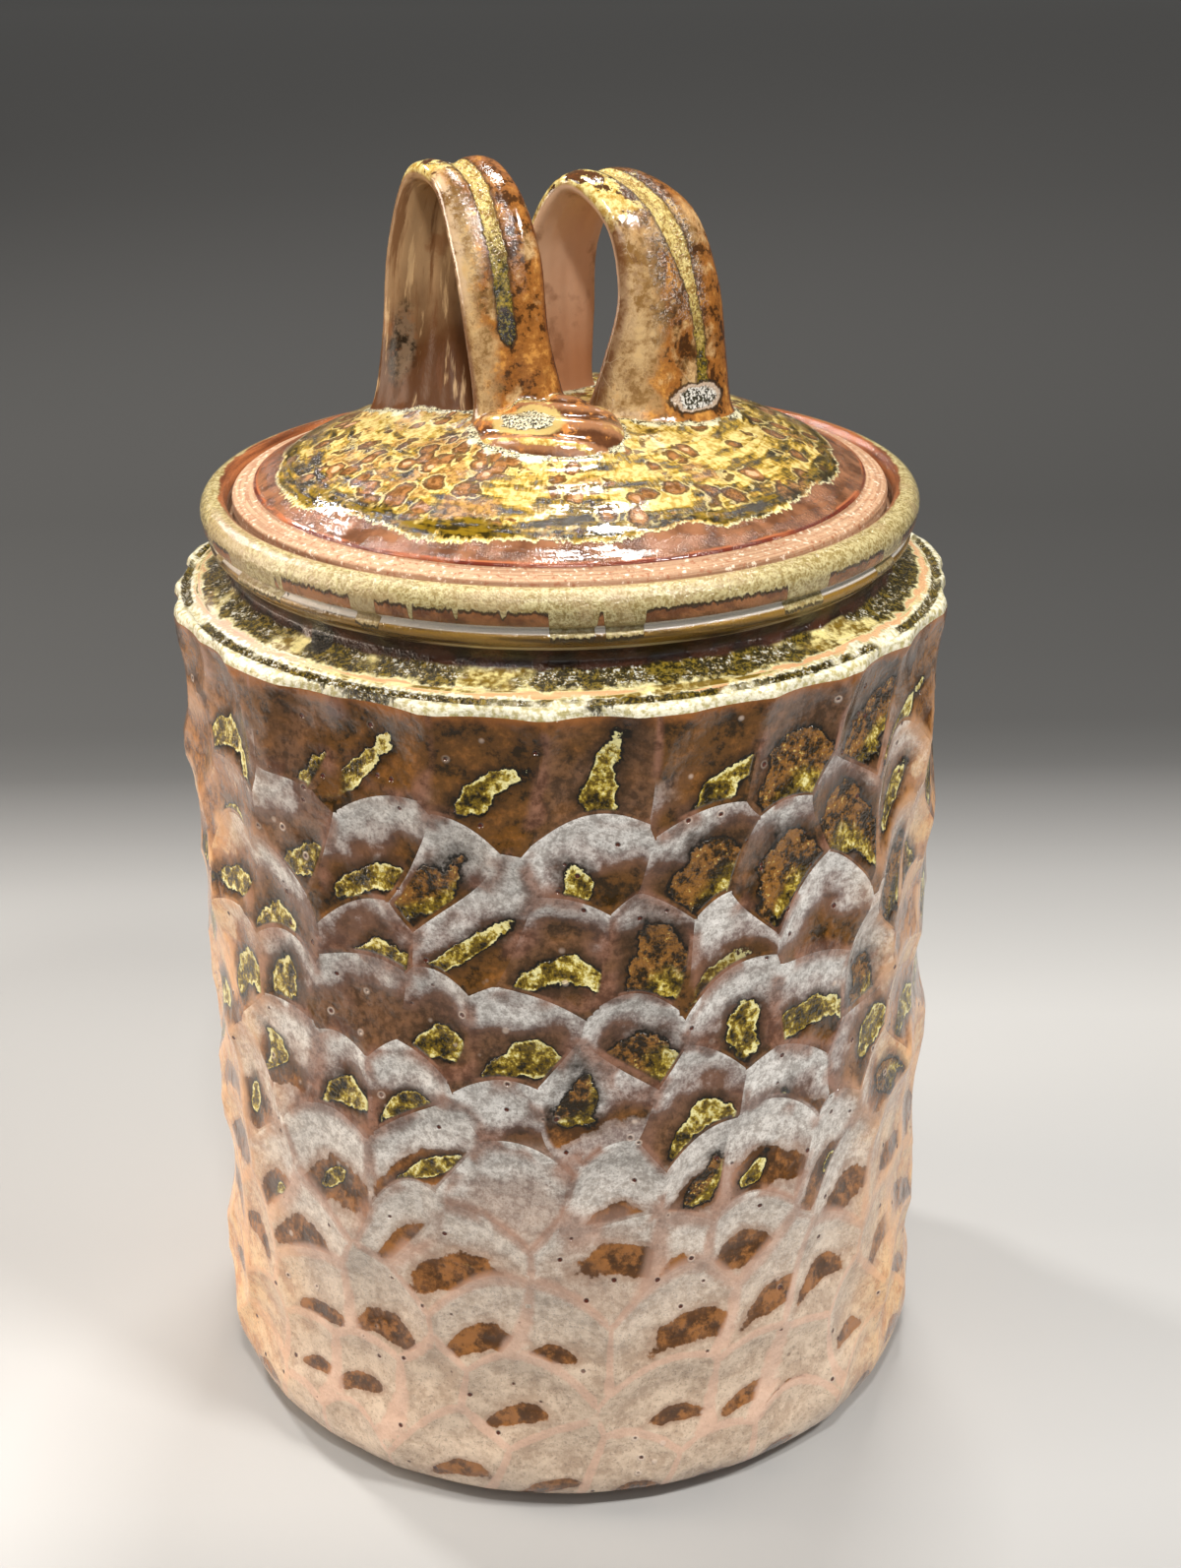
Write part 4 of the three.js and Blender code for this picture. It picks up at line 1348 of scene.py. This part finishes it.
def strap_glaze(name, run_side, run_end, end_size, beige_side, frosted):
    """Amber glaze over a pulled strap. A yellow run lies in its groove, as far across and along the
    strap as given, and ends in a drip of the given size. The glaze is thin and beige to one side of
    beige_side. The frosted strap has grey crystals, and the other a dark patch on its inner face."""
    glaze, tree, place = new_glaze(name)
    along, side, face = split(from_mesh(tree, "strap")["Vector"])
    foot = from_mesh(tree, "foot")["Fac"]
    clouds = noise(place, 13 * mm, 3)
    mottle = noise(place, 4.5 * mm, 5, 0.66)
    specks = noise(place, 1.3 * mm, 3, 0.68)
    grain = noise(place, 0.45 * mm, 2)
    outer_face = between(face, -0.2, 0.2)
    strap_length = 140 * mm
    half_width = 8.5 * mm

    def from_spot(at_along, at_side, long, wide):
        """How far a place is from a spot on the strap, as a share of the spot's size, made ragged."""
        one = maths("MULTIPLY", maths("SUBTRACT", along, at_along), strap_length / long)
        other = maths("MULTIPLY", maths("SUBTRACT", side, at_side), half_width / wide)
        return shifted(shifted(hypotenuse(one, other), mottle, 0.8), specks, 0.16)

    # Amber, breaking to beige where the glaze ran thin, and darker along the strap's edges
    tones = shifted(mottle, specks, 0.5)
    amber = graded(tones, 0.38, 0.5, amber_umber, amber_brown)
    amber = graded(tones, 0.52, 0.68, amber, amber_gold)
    beige = graded(tones, 0.34, 0.62, beige_shade, beige_light)
    beige_edge = shifted(shifted(side, mottle, 1.5), clouds, 1.4)
    thin = between(beige_edge, beige_side + 0.25, beige_side - 0.25)
    thin = either(both(thin, 0.8), both(between(shifted(clouds, mottle, 0.3), 0.56, 0.64), 0.7))
    colour = mixed(both(thin, within(along, 0.56, 1.06, 0.12)), amber, beige)
    freckles = both(between(specks, 0.54, 0.62), between(clouds, 0.36, 0.5))
    colour = laid(colour, freckle_brown, freckles, 0.5)
    edge = both(between(maths("ABSOLUTE", side), 0.86, 0.97), 0.75)
    colour = laid(colour, strap_edge, edge)
    lip = both(within(shifted(side, mottle, 0.6), -0.96, -0.74, 0.14), within(along, 0.52, 0.74, 0.06))
    lip = both(lip, between(tones, 0.36, 0.5), 0.2 if frosted else 0.75)
    colour = laid(colour, lip_beige, lip)

    # The inner face is smoother: pink cream on one strap, grey-cream above dark brown on the other,
    # which has a dark mottled patch too, and painted reflection streaks along it
    height_up = shifted(shifted(foot, clouds, 22 * mm), mottle, 5 * mm)
    if frosted:
        cream = graded(height_up, 2 * mm, 30 * mm, inner_pink, inner_cream)
    else:
        cream = graded(height_up, 8 * mm, 30 * mm, inner_umber, inner_beige)
        # Streaks along the inner face are painted reflections: pale highlight streaks and darker bands
        painted_reflection_streaks = noise(joined(both(side, half_width), both(along, 14 * mm), 0.0), 3 * mm, 4, 0.65)
        cream = laid(cream, reflection_streak_brown, between(painted_reflection_streaks, 0.5, 0.62), 0.75)
        cream = laid(cream, reflection_streak_cream, between(painted_reflection_streaks, 0.44, 0.36), 0.7)
    cream = laid(cream, inner_blotch, between(shifted(clouds, mottle, 0.4), 0.54, 0.64), 0.5)
    if not frosted:
        patch = between(from_spot(0.2, -0.45, 10 * mm, 3 * mm), 1.0, 0.6)
        patch_colour = graded(tones, 0.4, 0.6, patch_black, patch_grey)
        cream = laid(cream, patch_colour, patch, between(specks, 0.3, 0.42), 0.9)
    colour = mixed(outer_face, cream, colour)
    craze_place = vector_maths("MULTIPLY", place, (1, 1, 0.55))[0]
    craze, _ = cells(craze_place, 3.4 * mm, "DISTANCE_TO_EDGE")
    crazing = both(between(craze, 0.02, 0.004), between(clouds, 0.5, 0.62), thin, outer_face, 0.3)
    colour = laid(colour, crackle_line, crazing)

    # On the top the glaze is mauve brown with yellow islands, each with a dark outline
    on_top = both(within(shifted(along, clouds, 0.2), 0.34, 0.56, 0.08), outer_face)
    if frosted:
        on_top = both(on_top, between(shifted(side, mottle, 0.4), 0.74, 0.56))
    mauve = graded(tones, 0.36, 0.62, top_umber, top_mauve)
    colour = laid(colour, mauve, on_top, between(mottle, 0.62, 0.5), 0.4 if frosted else 0.7)
    island = scaled(side, -0.1 if frosted else -0.16, shifted(mottle, specks, 0.2))
    island_end = 0.53 if frosted else 0.58
    yellow = graded(shifted(specks, grain, 0.4), 0.36, 0.66, island_ochre, island_yellow)
    island_line = both(within(island, island_end - 0.03, island_end + 0.02, 0.02), on_top)
    colour = laid(colour, yellow, on_top, between(island, island_end, island_end + 0.02))
    colour = laid(colour, island_outline, island_line, 0.9)

    # Grey crystals beside the run, in jagged dark lines
    off_run = maths("ABSOLUTE", maths("SUBTRACT", side, run_side))
    frost_share = both(within(shifted(along, clouds, 0.2), 0.47, 0.72, 0.06), outer_face)
    frost_share = both(frost_share, 1.0 if frosted else 0.3)
    frost_share = both(frost_share, between(shifted(off_run, mottle, 1.2), 1.0, 0.6))
    frost_share = both(frost_share, between(side, 0.62, 0.42))
    jagged = shifted(specks, mottle, 0.5)
    frost = graded(grain, 0.36, 0.66, frost_brown, frost_grey)
    colour = laid(colour, frost, frost_share, within(jagged, 0.5, 0.58, 0.03), 0.75)
    colour = laid(colour, frost_line, frost_share, within(jagged, 0.45, 0.51, 0.03), 0.85)

    # The run down the groove: pale yellow with a thin dark outline, and olive toward its end
    middle = both(between(along, 0.5, 0.8), run_side)
    off_middle = maths("ABSOLUTE", shifted(maths("SUBTRACT", side, middle), mottle, 0.16))
    off_middle = shifted(off_middle, specks, 0.16)
    in_run = both(within(along, 0.36, run_end, 0.02), between(face, 0, 0.3))
    run_start_width = 0.25 if frosted else 0.24
    run_end_width = 0.1 if frosted else 0.2
    narrowing = between(along, run_end - 0.26, run_end - 0.14)
    run_width = scaled(narrowing, run_end_width - run_start_width, run_start_width)
    off_run = maths("DIVIDE", off_middle, run_width)
    run = both(between(off_run, 1.0, 0.88), in_run)
    run_edge = both(between(off_run, 1.45, 1.0), in_run)
    crust = graded(shifted(specks, grain, 0.6), 0.34, 0.64, run_ochre, run_yellow)
    olive = graded(shifted(specks, grain, 0.6), 0.38, 0.64, run_black, run_olive)
    crust = graded(shifted(along, mottle, 0.16), run_end - 0.17, run_end - 0.07, crust, olive)
    colour = laid(colour, run_outline, run_edge, 0.75)
    colour = laid(colour, crust, run)

    # The drip at its end is dark on one strap, and a cluster of white crystals on the other
    drip_side = run_side - (0.12 if frosted else 0)
    drip_length = end_size * (1 if frosted else 1.9)
    drip = from_spot(run_end, drip_side, drip_length, end_size)
    drip_share = both(between(drip, 1.02, 0.95), outer_face)
    drip_line = both(between(drip, 1.22, 1.1), outer_face, 0.85)
    colour = laid(colour, drip_outline, drip_line)
    if frosted:
        cluster = graded(shifted(grain, specks, 0.7), 0.44, 0.54, cluster_white, cluster_black)
        cluster = graded(drip, 0.68, 0.86, cluster, cluster_ring)
    else:
        cluster = graded(grain, 0.5, 0.64, drip_black, drip_olive)
    colour = laid(colour, cluster, drip_share)

    # The thumbed pad, on which the strap's coordinates run on past one, has yellow arcs on its ridges
    # and a speckled cream pool at its top
    on_pad = between(along, 1.02, 1.1)
    pad_y = maths("SUBTRACT", along, 2 + thumb_centre)
    pad_x = maths("MULTIPLY", side, thumb_squash)
    thumbed = hypotenuse(pad_x, pad_y)
    arcs = maths("SINE", scaled(thumbed, ridge_pitch, side))
    arcs = shifted(arcs, mottle, 2.2)
    pad = graded(arcs, -0.6, 0.5, pad_umber, pad_tan)
    pad = graded(shifted(mottle, specks, 0.4), 0.54, 0.62, pad, pad_orange)
    pad = laid(pad, yellow, between(arcs, 0.74, 0.9), between(clouds, 0.4, 0.5))
    colour = laid(colour, pad, on_pad, 0.9)
    pool_x = maths("DIVIDE", maths("ADD", side, 0.12), 0.36)
    pool_y = maths("DIVIDE", maths("SUBTRACT", along, 1.78), 0.24)
    pool = shifted(hypotenuse(pool_x, pool_y), mottle, 0.9)
    pool_ring = both(between(pool, 1.5, 1.3), on_pad)
    colour = laid(colour, pad_straw, pool_ring, 0.8)
    pool = both(between(pool, 1.05, 0.95), on_pad)
    colour = mixed(pool, colour, graded(grain, 0.46, 0.56, pad_cream, pad_black))

    # A bead of thick glaze where the foot meets the dome
    bead = between(shifted(foot, mottle, 2.5 * mm), 0.8 * mm, 0.3 * mm)
    bead_colour = graded(grain, 0.5, 0.58, foot_cream, foot_black)
    colour = laid(colour, bead_colour, bead)

    crystals = either(either(run, drip_share), either(bead, pool))
    relief = stacked(
        (both(crystals, grain), 0.5), (either(run, drip_share), 0.25), (both(frost_share, grain), 0.4),
        (mottle, 0.2),
    )
    dress(colour, scaled(outer_face, -0.21, 0.28), relief)
    shader = tree.nodes["Principled BSDF"]
    tree.links.new(both(outer_face, 0.4), shader.inputs["Coat Weight"])
    tree.links.new(scaled(outer_face, 0.4, 0.1), shader.inputs["Specular IOR Level"])
    return glaze


left_handle.data.materials.clear()
left_handle.data.materials.append(strap_glaze("left_strap_glaze", 0, 0.77, 1.7 * mm, -0.5, False))
right_handle.data.materials.clear()
right_handle.data.materials.append(strap_glaze("right_strap_glaze", 0.4, 0.84, 3.6 * mm, -0.35, True))
for handle, node in ((left_handle, "left_strap_handle"), (right_handle, "right_strap_handle")):
    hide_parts(node)
    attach(handle, "lid")

# The dome's glaze is ash yellow, breaking to glassy olive, with brown islands. It gathers in a raised
# bead round the handles' feet, so each point of the lid takes its distance to them.
bead_height = 0.7 * mm
bead_width = 1.8 * mm
foot_line = 0.4 * mm
feet = [entry[0] for entry in left_points + right_points if over_dome(entry[0]) < foot_line]
near_feet = kdtree.KDTree(len(feet))
for index, point in enumerate(feet):
    near_feet.insert(point, index)
near_feet.balance()
to_foot = []
for vertex in lid_mesh.vertices:
    distance = near_feet.find(vertex.co)[2]
    to_foot.append(distance)
    if over_dome(vertex.co) > -1 * mm and hypot(vertex.co.x, vertex.co.y) < dome_edge_radius:
        vertex.co.z += bead_height * exp(-(distance / bead_width) ** 2)
lid_mesh.attributes.new("to_foot", "FLOAT", "POINT").data.foreach_set("value", to_foot)

dome_black = tint(46, 36, 6)
dome_olive = tint(122, 96, 18)
dome_ochre = tint(178, 142, 52)
dome_straw = tint(176, 146, 72)
dome_yellow = tint(222, 202, 132)
blotch_brown = tint(112, 74, 30)
blotch_tan = tint(190, 142, 78)
island_brown = tint(104, 66, 30)
island_tan = tint(162, 112, 64)
island_pink = tint(214, 168, 128)
island_rim = tint(226, 206, 140)
island_brown_line = tint(78, 48, 18)
end_olive_green = tint(124, 98, 20)
edge_cream = tint(226, 216, 170)
band_brown = tint(96, 60, 38)
band_tan = tint(150, 102, 72)
band_orange = tint(176, 104, 66)
band_red = tint(104, 44, 30)
gather_cream = tint(228, 220, 180)
gather_black = tint(46, 44, 24)
island_size = 4.6 * mm
glaze_end = 54.6 * mm
red_line = 58.5 * mm

dome_glaze, tree, place = new_glaze("dome_glaze")
x, y, height = split(place)
_, radius = flat_and_radius(x, y)
to_foot_node = from_mesh(tree, "to_foot")["Fac"]
rings, rings_up = round_the_axis(place, 13 * mm, 3.2 * mm)
streaks = noise(rings, 3.2 * mm, 4, 0.6, rings_up)
fine_rings, fine_up = round_the_axis(place, 9 * mm, 1.1 * mm)
threads = noise(fine_rings, 1.1 * mm, 3, 0.6, fine_up)
feather_place, feather_up = round_the_axis(place, 0.8 * mm, 2.6 * mm)
feather = noise(feather_place, 2.6 * mm, 3, 0.6, feather_up)
clouds = noise(place, 22 * mm, 3)
mottle = noise(place, 5 * mm, 4)
specks = noise(place, 1.2 * mm, 3)
grain = noise(place, 0.45 * mm, 2)

# Glassy olive and pale yellow streaks along the throwing rings, darker toward the dome's edge
glassy = shifted(shifted(streaks, feather, 0.3), threads, 0.34)
glassy = scaled(between(radius, 30 * mm, 52 * mm), -0.09, maths("ADD", glassy, 0.025))
olive = graded(glassy, 0.34, 0.44, dome_black, dome_olive)
dome = graded(glassy, 0.43, 0.5, olive, dome_ochre)
pale_yellow = graded(specks, 0.35, 0.6, dome_straw, dome_yellow)
dome = graded(glassy, 0.48, 0.54, dome, pale_yellow)
dark = between(glassy, 0.46, 0.4)
blotch = shifted(shifted(clouds, mottle, 0.3), threads, 0.15)
blotch_body = graded(specks, 0.42, 0.58, blotch_brown, blotch_tan)
dome = laid(dome, blotch_body, between(blotch, 0.52, 0.58), between(mottle, 0.45, 0.5), 0.8)

# Islands: brown with a dark outline and a pale rim, some with a pink centre
squash, _ = round_the_axis(place, 6.4 * mm, island_size)
island, island_tint = cells(squash, island_size)
island = shifted(shifted(island, mottle, 1.0), specks, 0.3)
crowded = scaled(between(blotch, 0.5, 0.54), 0.4, split(island_tint)[0])
held = both(between(crowded, 0.54, 0.56), between(radius, 53 * mm, 50 * mm))
island_edge = both(within(island, 0.36, 0.5, 0.05), held)
island_body = both(between(island, 0.4, 0.37), held)
island_centre = both(between(island, 0.2, 0.12), held, between(split(island_tint)[1], 0.45, 0.55))
dome = mixed(island_body, dome, graded(specks, 0.38, 0.62, island_brown, island_tan))
dome = laid(dome, island_pink, island_centre)
dome = laid(dome, island_rim, within(island, 0.48, 0.58, 0.06), held, 0.6)
dome = laid(dome, island_brown_line, island_edge, 0.85)

# The glaze ends in a ragged pale line. Past it the clay is brown, then orange, with a dark red edge.
edge = shifted(shifted(glaze_end, clouds, -14 * mm), feather, 3.4 * mm)
inside_edge = maths("SUBTRACT", edge, radius)
glazed = between(inside_edge, 0, 0.15 * mm)
rim_line = between(shifted(inside_edge, specks, 1.2 * mm), 0.9 * mm, 0.5 * mm)
rim_line = both(rim_line, between(grain, 0.36, 0.56))
dome = laid(dome, edge_cream, rim_line)
near_end = between(shifted(inside_edge, mottle, 4 * mm), 5 * mm, 3.4 * mm)
near_end = both(near_end, between(inside_edge, 0.9 * mm, 1.4 * mm))
end_olive = graded(shifted(threads, specks, 0.6), 0.4, 0.6, dome_black, end_olive_green)
near_end = both(near_end, between(shifted(streaks, mottle, 0.5), 0.42, 0.5))
dome = laid(dome, end_olive, near_end)
band = graded(mottle, 0.35, 0.65, band_brown, band_tan)
orange_part = both(between(radius, red_line - 0.5 * mm, red_line), between(streaks, 0.4, 0.55))
band = laid(band, band_orange, orange_part)
red_edge = between(shifted(radius, streaks, 0.6 * mm), red_line, red_line + 0.3 * mm)
band = laid(band, band_red, red_edge, between(clouds, 0.4, 0.55))
colour = mixed(glazed, band, dome)

# Cream glaze with dark crystals gathers round the handles' feet
bead = between(shifted(shifted(to_foot_node, mottle, 5 * mm), specks, 1 * mm), 1.1 * mm, 0.6 * mm)
bead_dark = both(between(mottle, 0.4, 0.5), between(grain, 0.44, 0.54))
colour = mixed(bead, colour, mixed(bead_dark, gather_cream, gather_black))

relief = stacked(
    (both(either(dark, bead), grain), 0.3), (glazed, 0.35), (grain, 0.03), (threads, 0.05),
    (island_body, -0.1), (mottle, 0.14),
)
dress(colour, 0.08, relief)

lid_mesh.materials.append(dome_glaze)
lid_mesh.materials.append(bare_clay)
lid_mesh.materials.append(inside_glaze)


def finish_of_lid_band(band):
    """Which of the lid's three finishes lies between a ring and the next."""
    radius, height = (lid_outline[band] + lid_outline[band + 1]) / 2
    if band < len(lid_under) - 1:
        return 2
    return 0 if radius < dome_edge_radius + 0.25 * mm and height > dome_edge_height - 0.5 * mm else 1


lid_finishes = [finish_of_lid_band(band) for band in range(len(lid_outline) - 1)]
lid_mesh.polygons.foreach_set("material_index", [lid_finishes[band] for band in lid_band_of_face])
lid = new_piece("lid_visual", lid_mesh)
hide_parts("lid")
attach(lid, "lid")

# The studio, under soft lamps: a floor whose colour is a painted pool of light, pale round the jar and
# falling away into dark grey, further off behind the jar and at its sides than in front.
floor_mesh = bpy.data.meshes.new("floor")
floor_reach = 8
corners = ((-1, -1), (1, -1), (1, 1), (-1, 1))
floor_points = [(floor_reach * side, floor_reach * end, 0) for side, end in corners]
floor_mesh.from_pydata(floor_points, [], [(0, 1, 2, 3)])
floor_piece = new_piece("floor", floor_mesh)
floor_with_painted_light = bpy.data.materials.new("table_with_painted_light_pool")
floor_with_painted_light.use_nodes = True
tree = floor_with_painted_light.node_tree
place = put(tree, "ShaderNodeTexCoord").outputs["Object"]
x, y, height = split(place)
table_half_width = 0.7
table_half_depth = 0.23
table_centre = (0.08, 0.07)
tone_range = 12
front_light_gain = 2.05
share_x = maths("ABSOLUTE", maths("DIVIDE", maths("SUBTRACT", x, table_centre[0]), table_half_width))
share_y = maths("ABSOLUTE", maths("DIVIDE", maths("SUBTRACT", y, table_centre[1]), table_half_depth))
fourths = maths("ADD", maths("POWER", share_x, 4), maths("POWER", share_y, 4))
reach = maths("POWER", fourths, 0.25)
tone = tree.nodes.new("ShaderNodeValToRGB")
tree.links.new(maths("DIVIDE", reach, tone_range), tone.inputs[0])

# The floor's painted light by how far off it is, as shares of the tone range
tones = (
    (0.02, 0.36), (0.05, 0.25), (0.069, 0.14), (0.083, 0.068), (0.096, 0.048), (0.12, 0.045),
    (0.19, 0.044), (0.5, 0.115), (1, 0.27),
)
while len(tone.color_ramp.elements) < len(tones):
    tone.color_ramp.elements.new(1)
for element, (spot, level) in zip(tone.color_ramp.elements, tones):
    element.position = spot
    element.color = (level, level * 0.99, level * 0.97, 1)
# Painted light: the floor grows brighter toward the front
painted_front_light = graded(y, 30 * mm, -130 * mm, (1, 1, 1, 1), (front_light_gain, front_light_gain, front_light_gain, 1))
shade = vector_maths("MULTIPLY", tone.outputs[0], painted_front_light)[0]
tree.links.new(shade, tree.nodes["Principled BSDF"].inputs["Base Color"])
tree.nodes["Principled BSDF"].inputs["Roughness"].default_value = 0.8
floor_piece.data.materials.append(floor_with_painted_light)

lamp_target = Vector((0, 0, 0.12))
warm_white = (1, 0.97, 0.93)
soft_white = (1, 0.98, 0.95)
amber_light = (1, 0.84, 0.68)


def soft_lamp(name, place, size, power, colour):
    """A soft rectangular lamp aimed at the jar's upper wall."""
    data = bpy.data.lights.new(name, "AREA")
    data.shape = "RECTANGLE"
    data.size, data.size_y = size
    data.energy = power
    data.color = colour
    lamp = bpy.data.objects.new(name, data)
    bpy.context.scene.collection.objects.link(lamp)
    lamp.location = place
    lamp.rotation_euler = (lamp_target - Vector(place)).to_track_quat("-Z", "Y").to_euler()


soft_lamp("right_softbox", (0.6, -0.5, 1.1), (0.2, 0.14), 10.5, warm_white)
soft_lamp("back_softbox", (-0.565, 0.535, 0.815), (0.1, 0.07), 6, soft_white)
soft_lamp("rear_softbox", (0.12, 0.5, 1.5), (0.3, 0.2), 14, soft_white)
soft_lamp("top_softbox", (0.02, -0.66, 1.15), (0.12, 0.08), 7, soft_white)
soft_lamp("left_softbox", (-0.75, -0.1, 0.9), (0.3, 0.2), 2, warm_white)
soft_lamp("front_fill", (0.1, -1.1, 0.9), (0.9, 0.5), 2.6, soft_white)
soft_lamp("warm_side", (-0.95, 0.1, 0.35), (0.4, 0.5), 7, amber_light)
world = bpy.data.worlds.new("studio")
bpy.context.scene.world = world
world.use_nodes = True
tree = world.node_tree
background = tree.nodes["Background"]
seen = put(tree, "ShaderNodeLightPath").outputs
sharp_ray = either(seen["Is Camera Ray"], seen["Is Glossy Ray"])
room_light = (0.2, 0.2, 0.2, 1)
room_seen = (0.082, 0.077, 0.063, 1)
tree.links.new(mixed(sharp_ray, room_light, room_seen), background.inputs["Color"])
background.inputs["Strength"].default_value = 1
bpy.context.scene.view_settings.view_transform = "Standard"
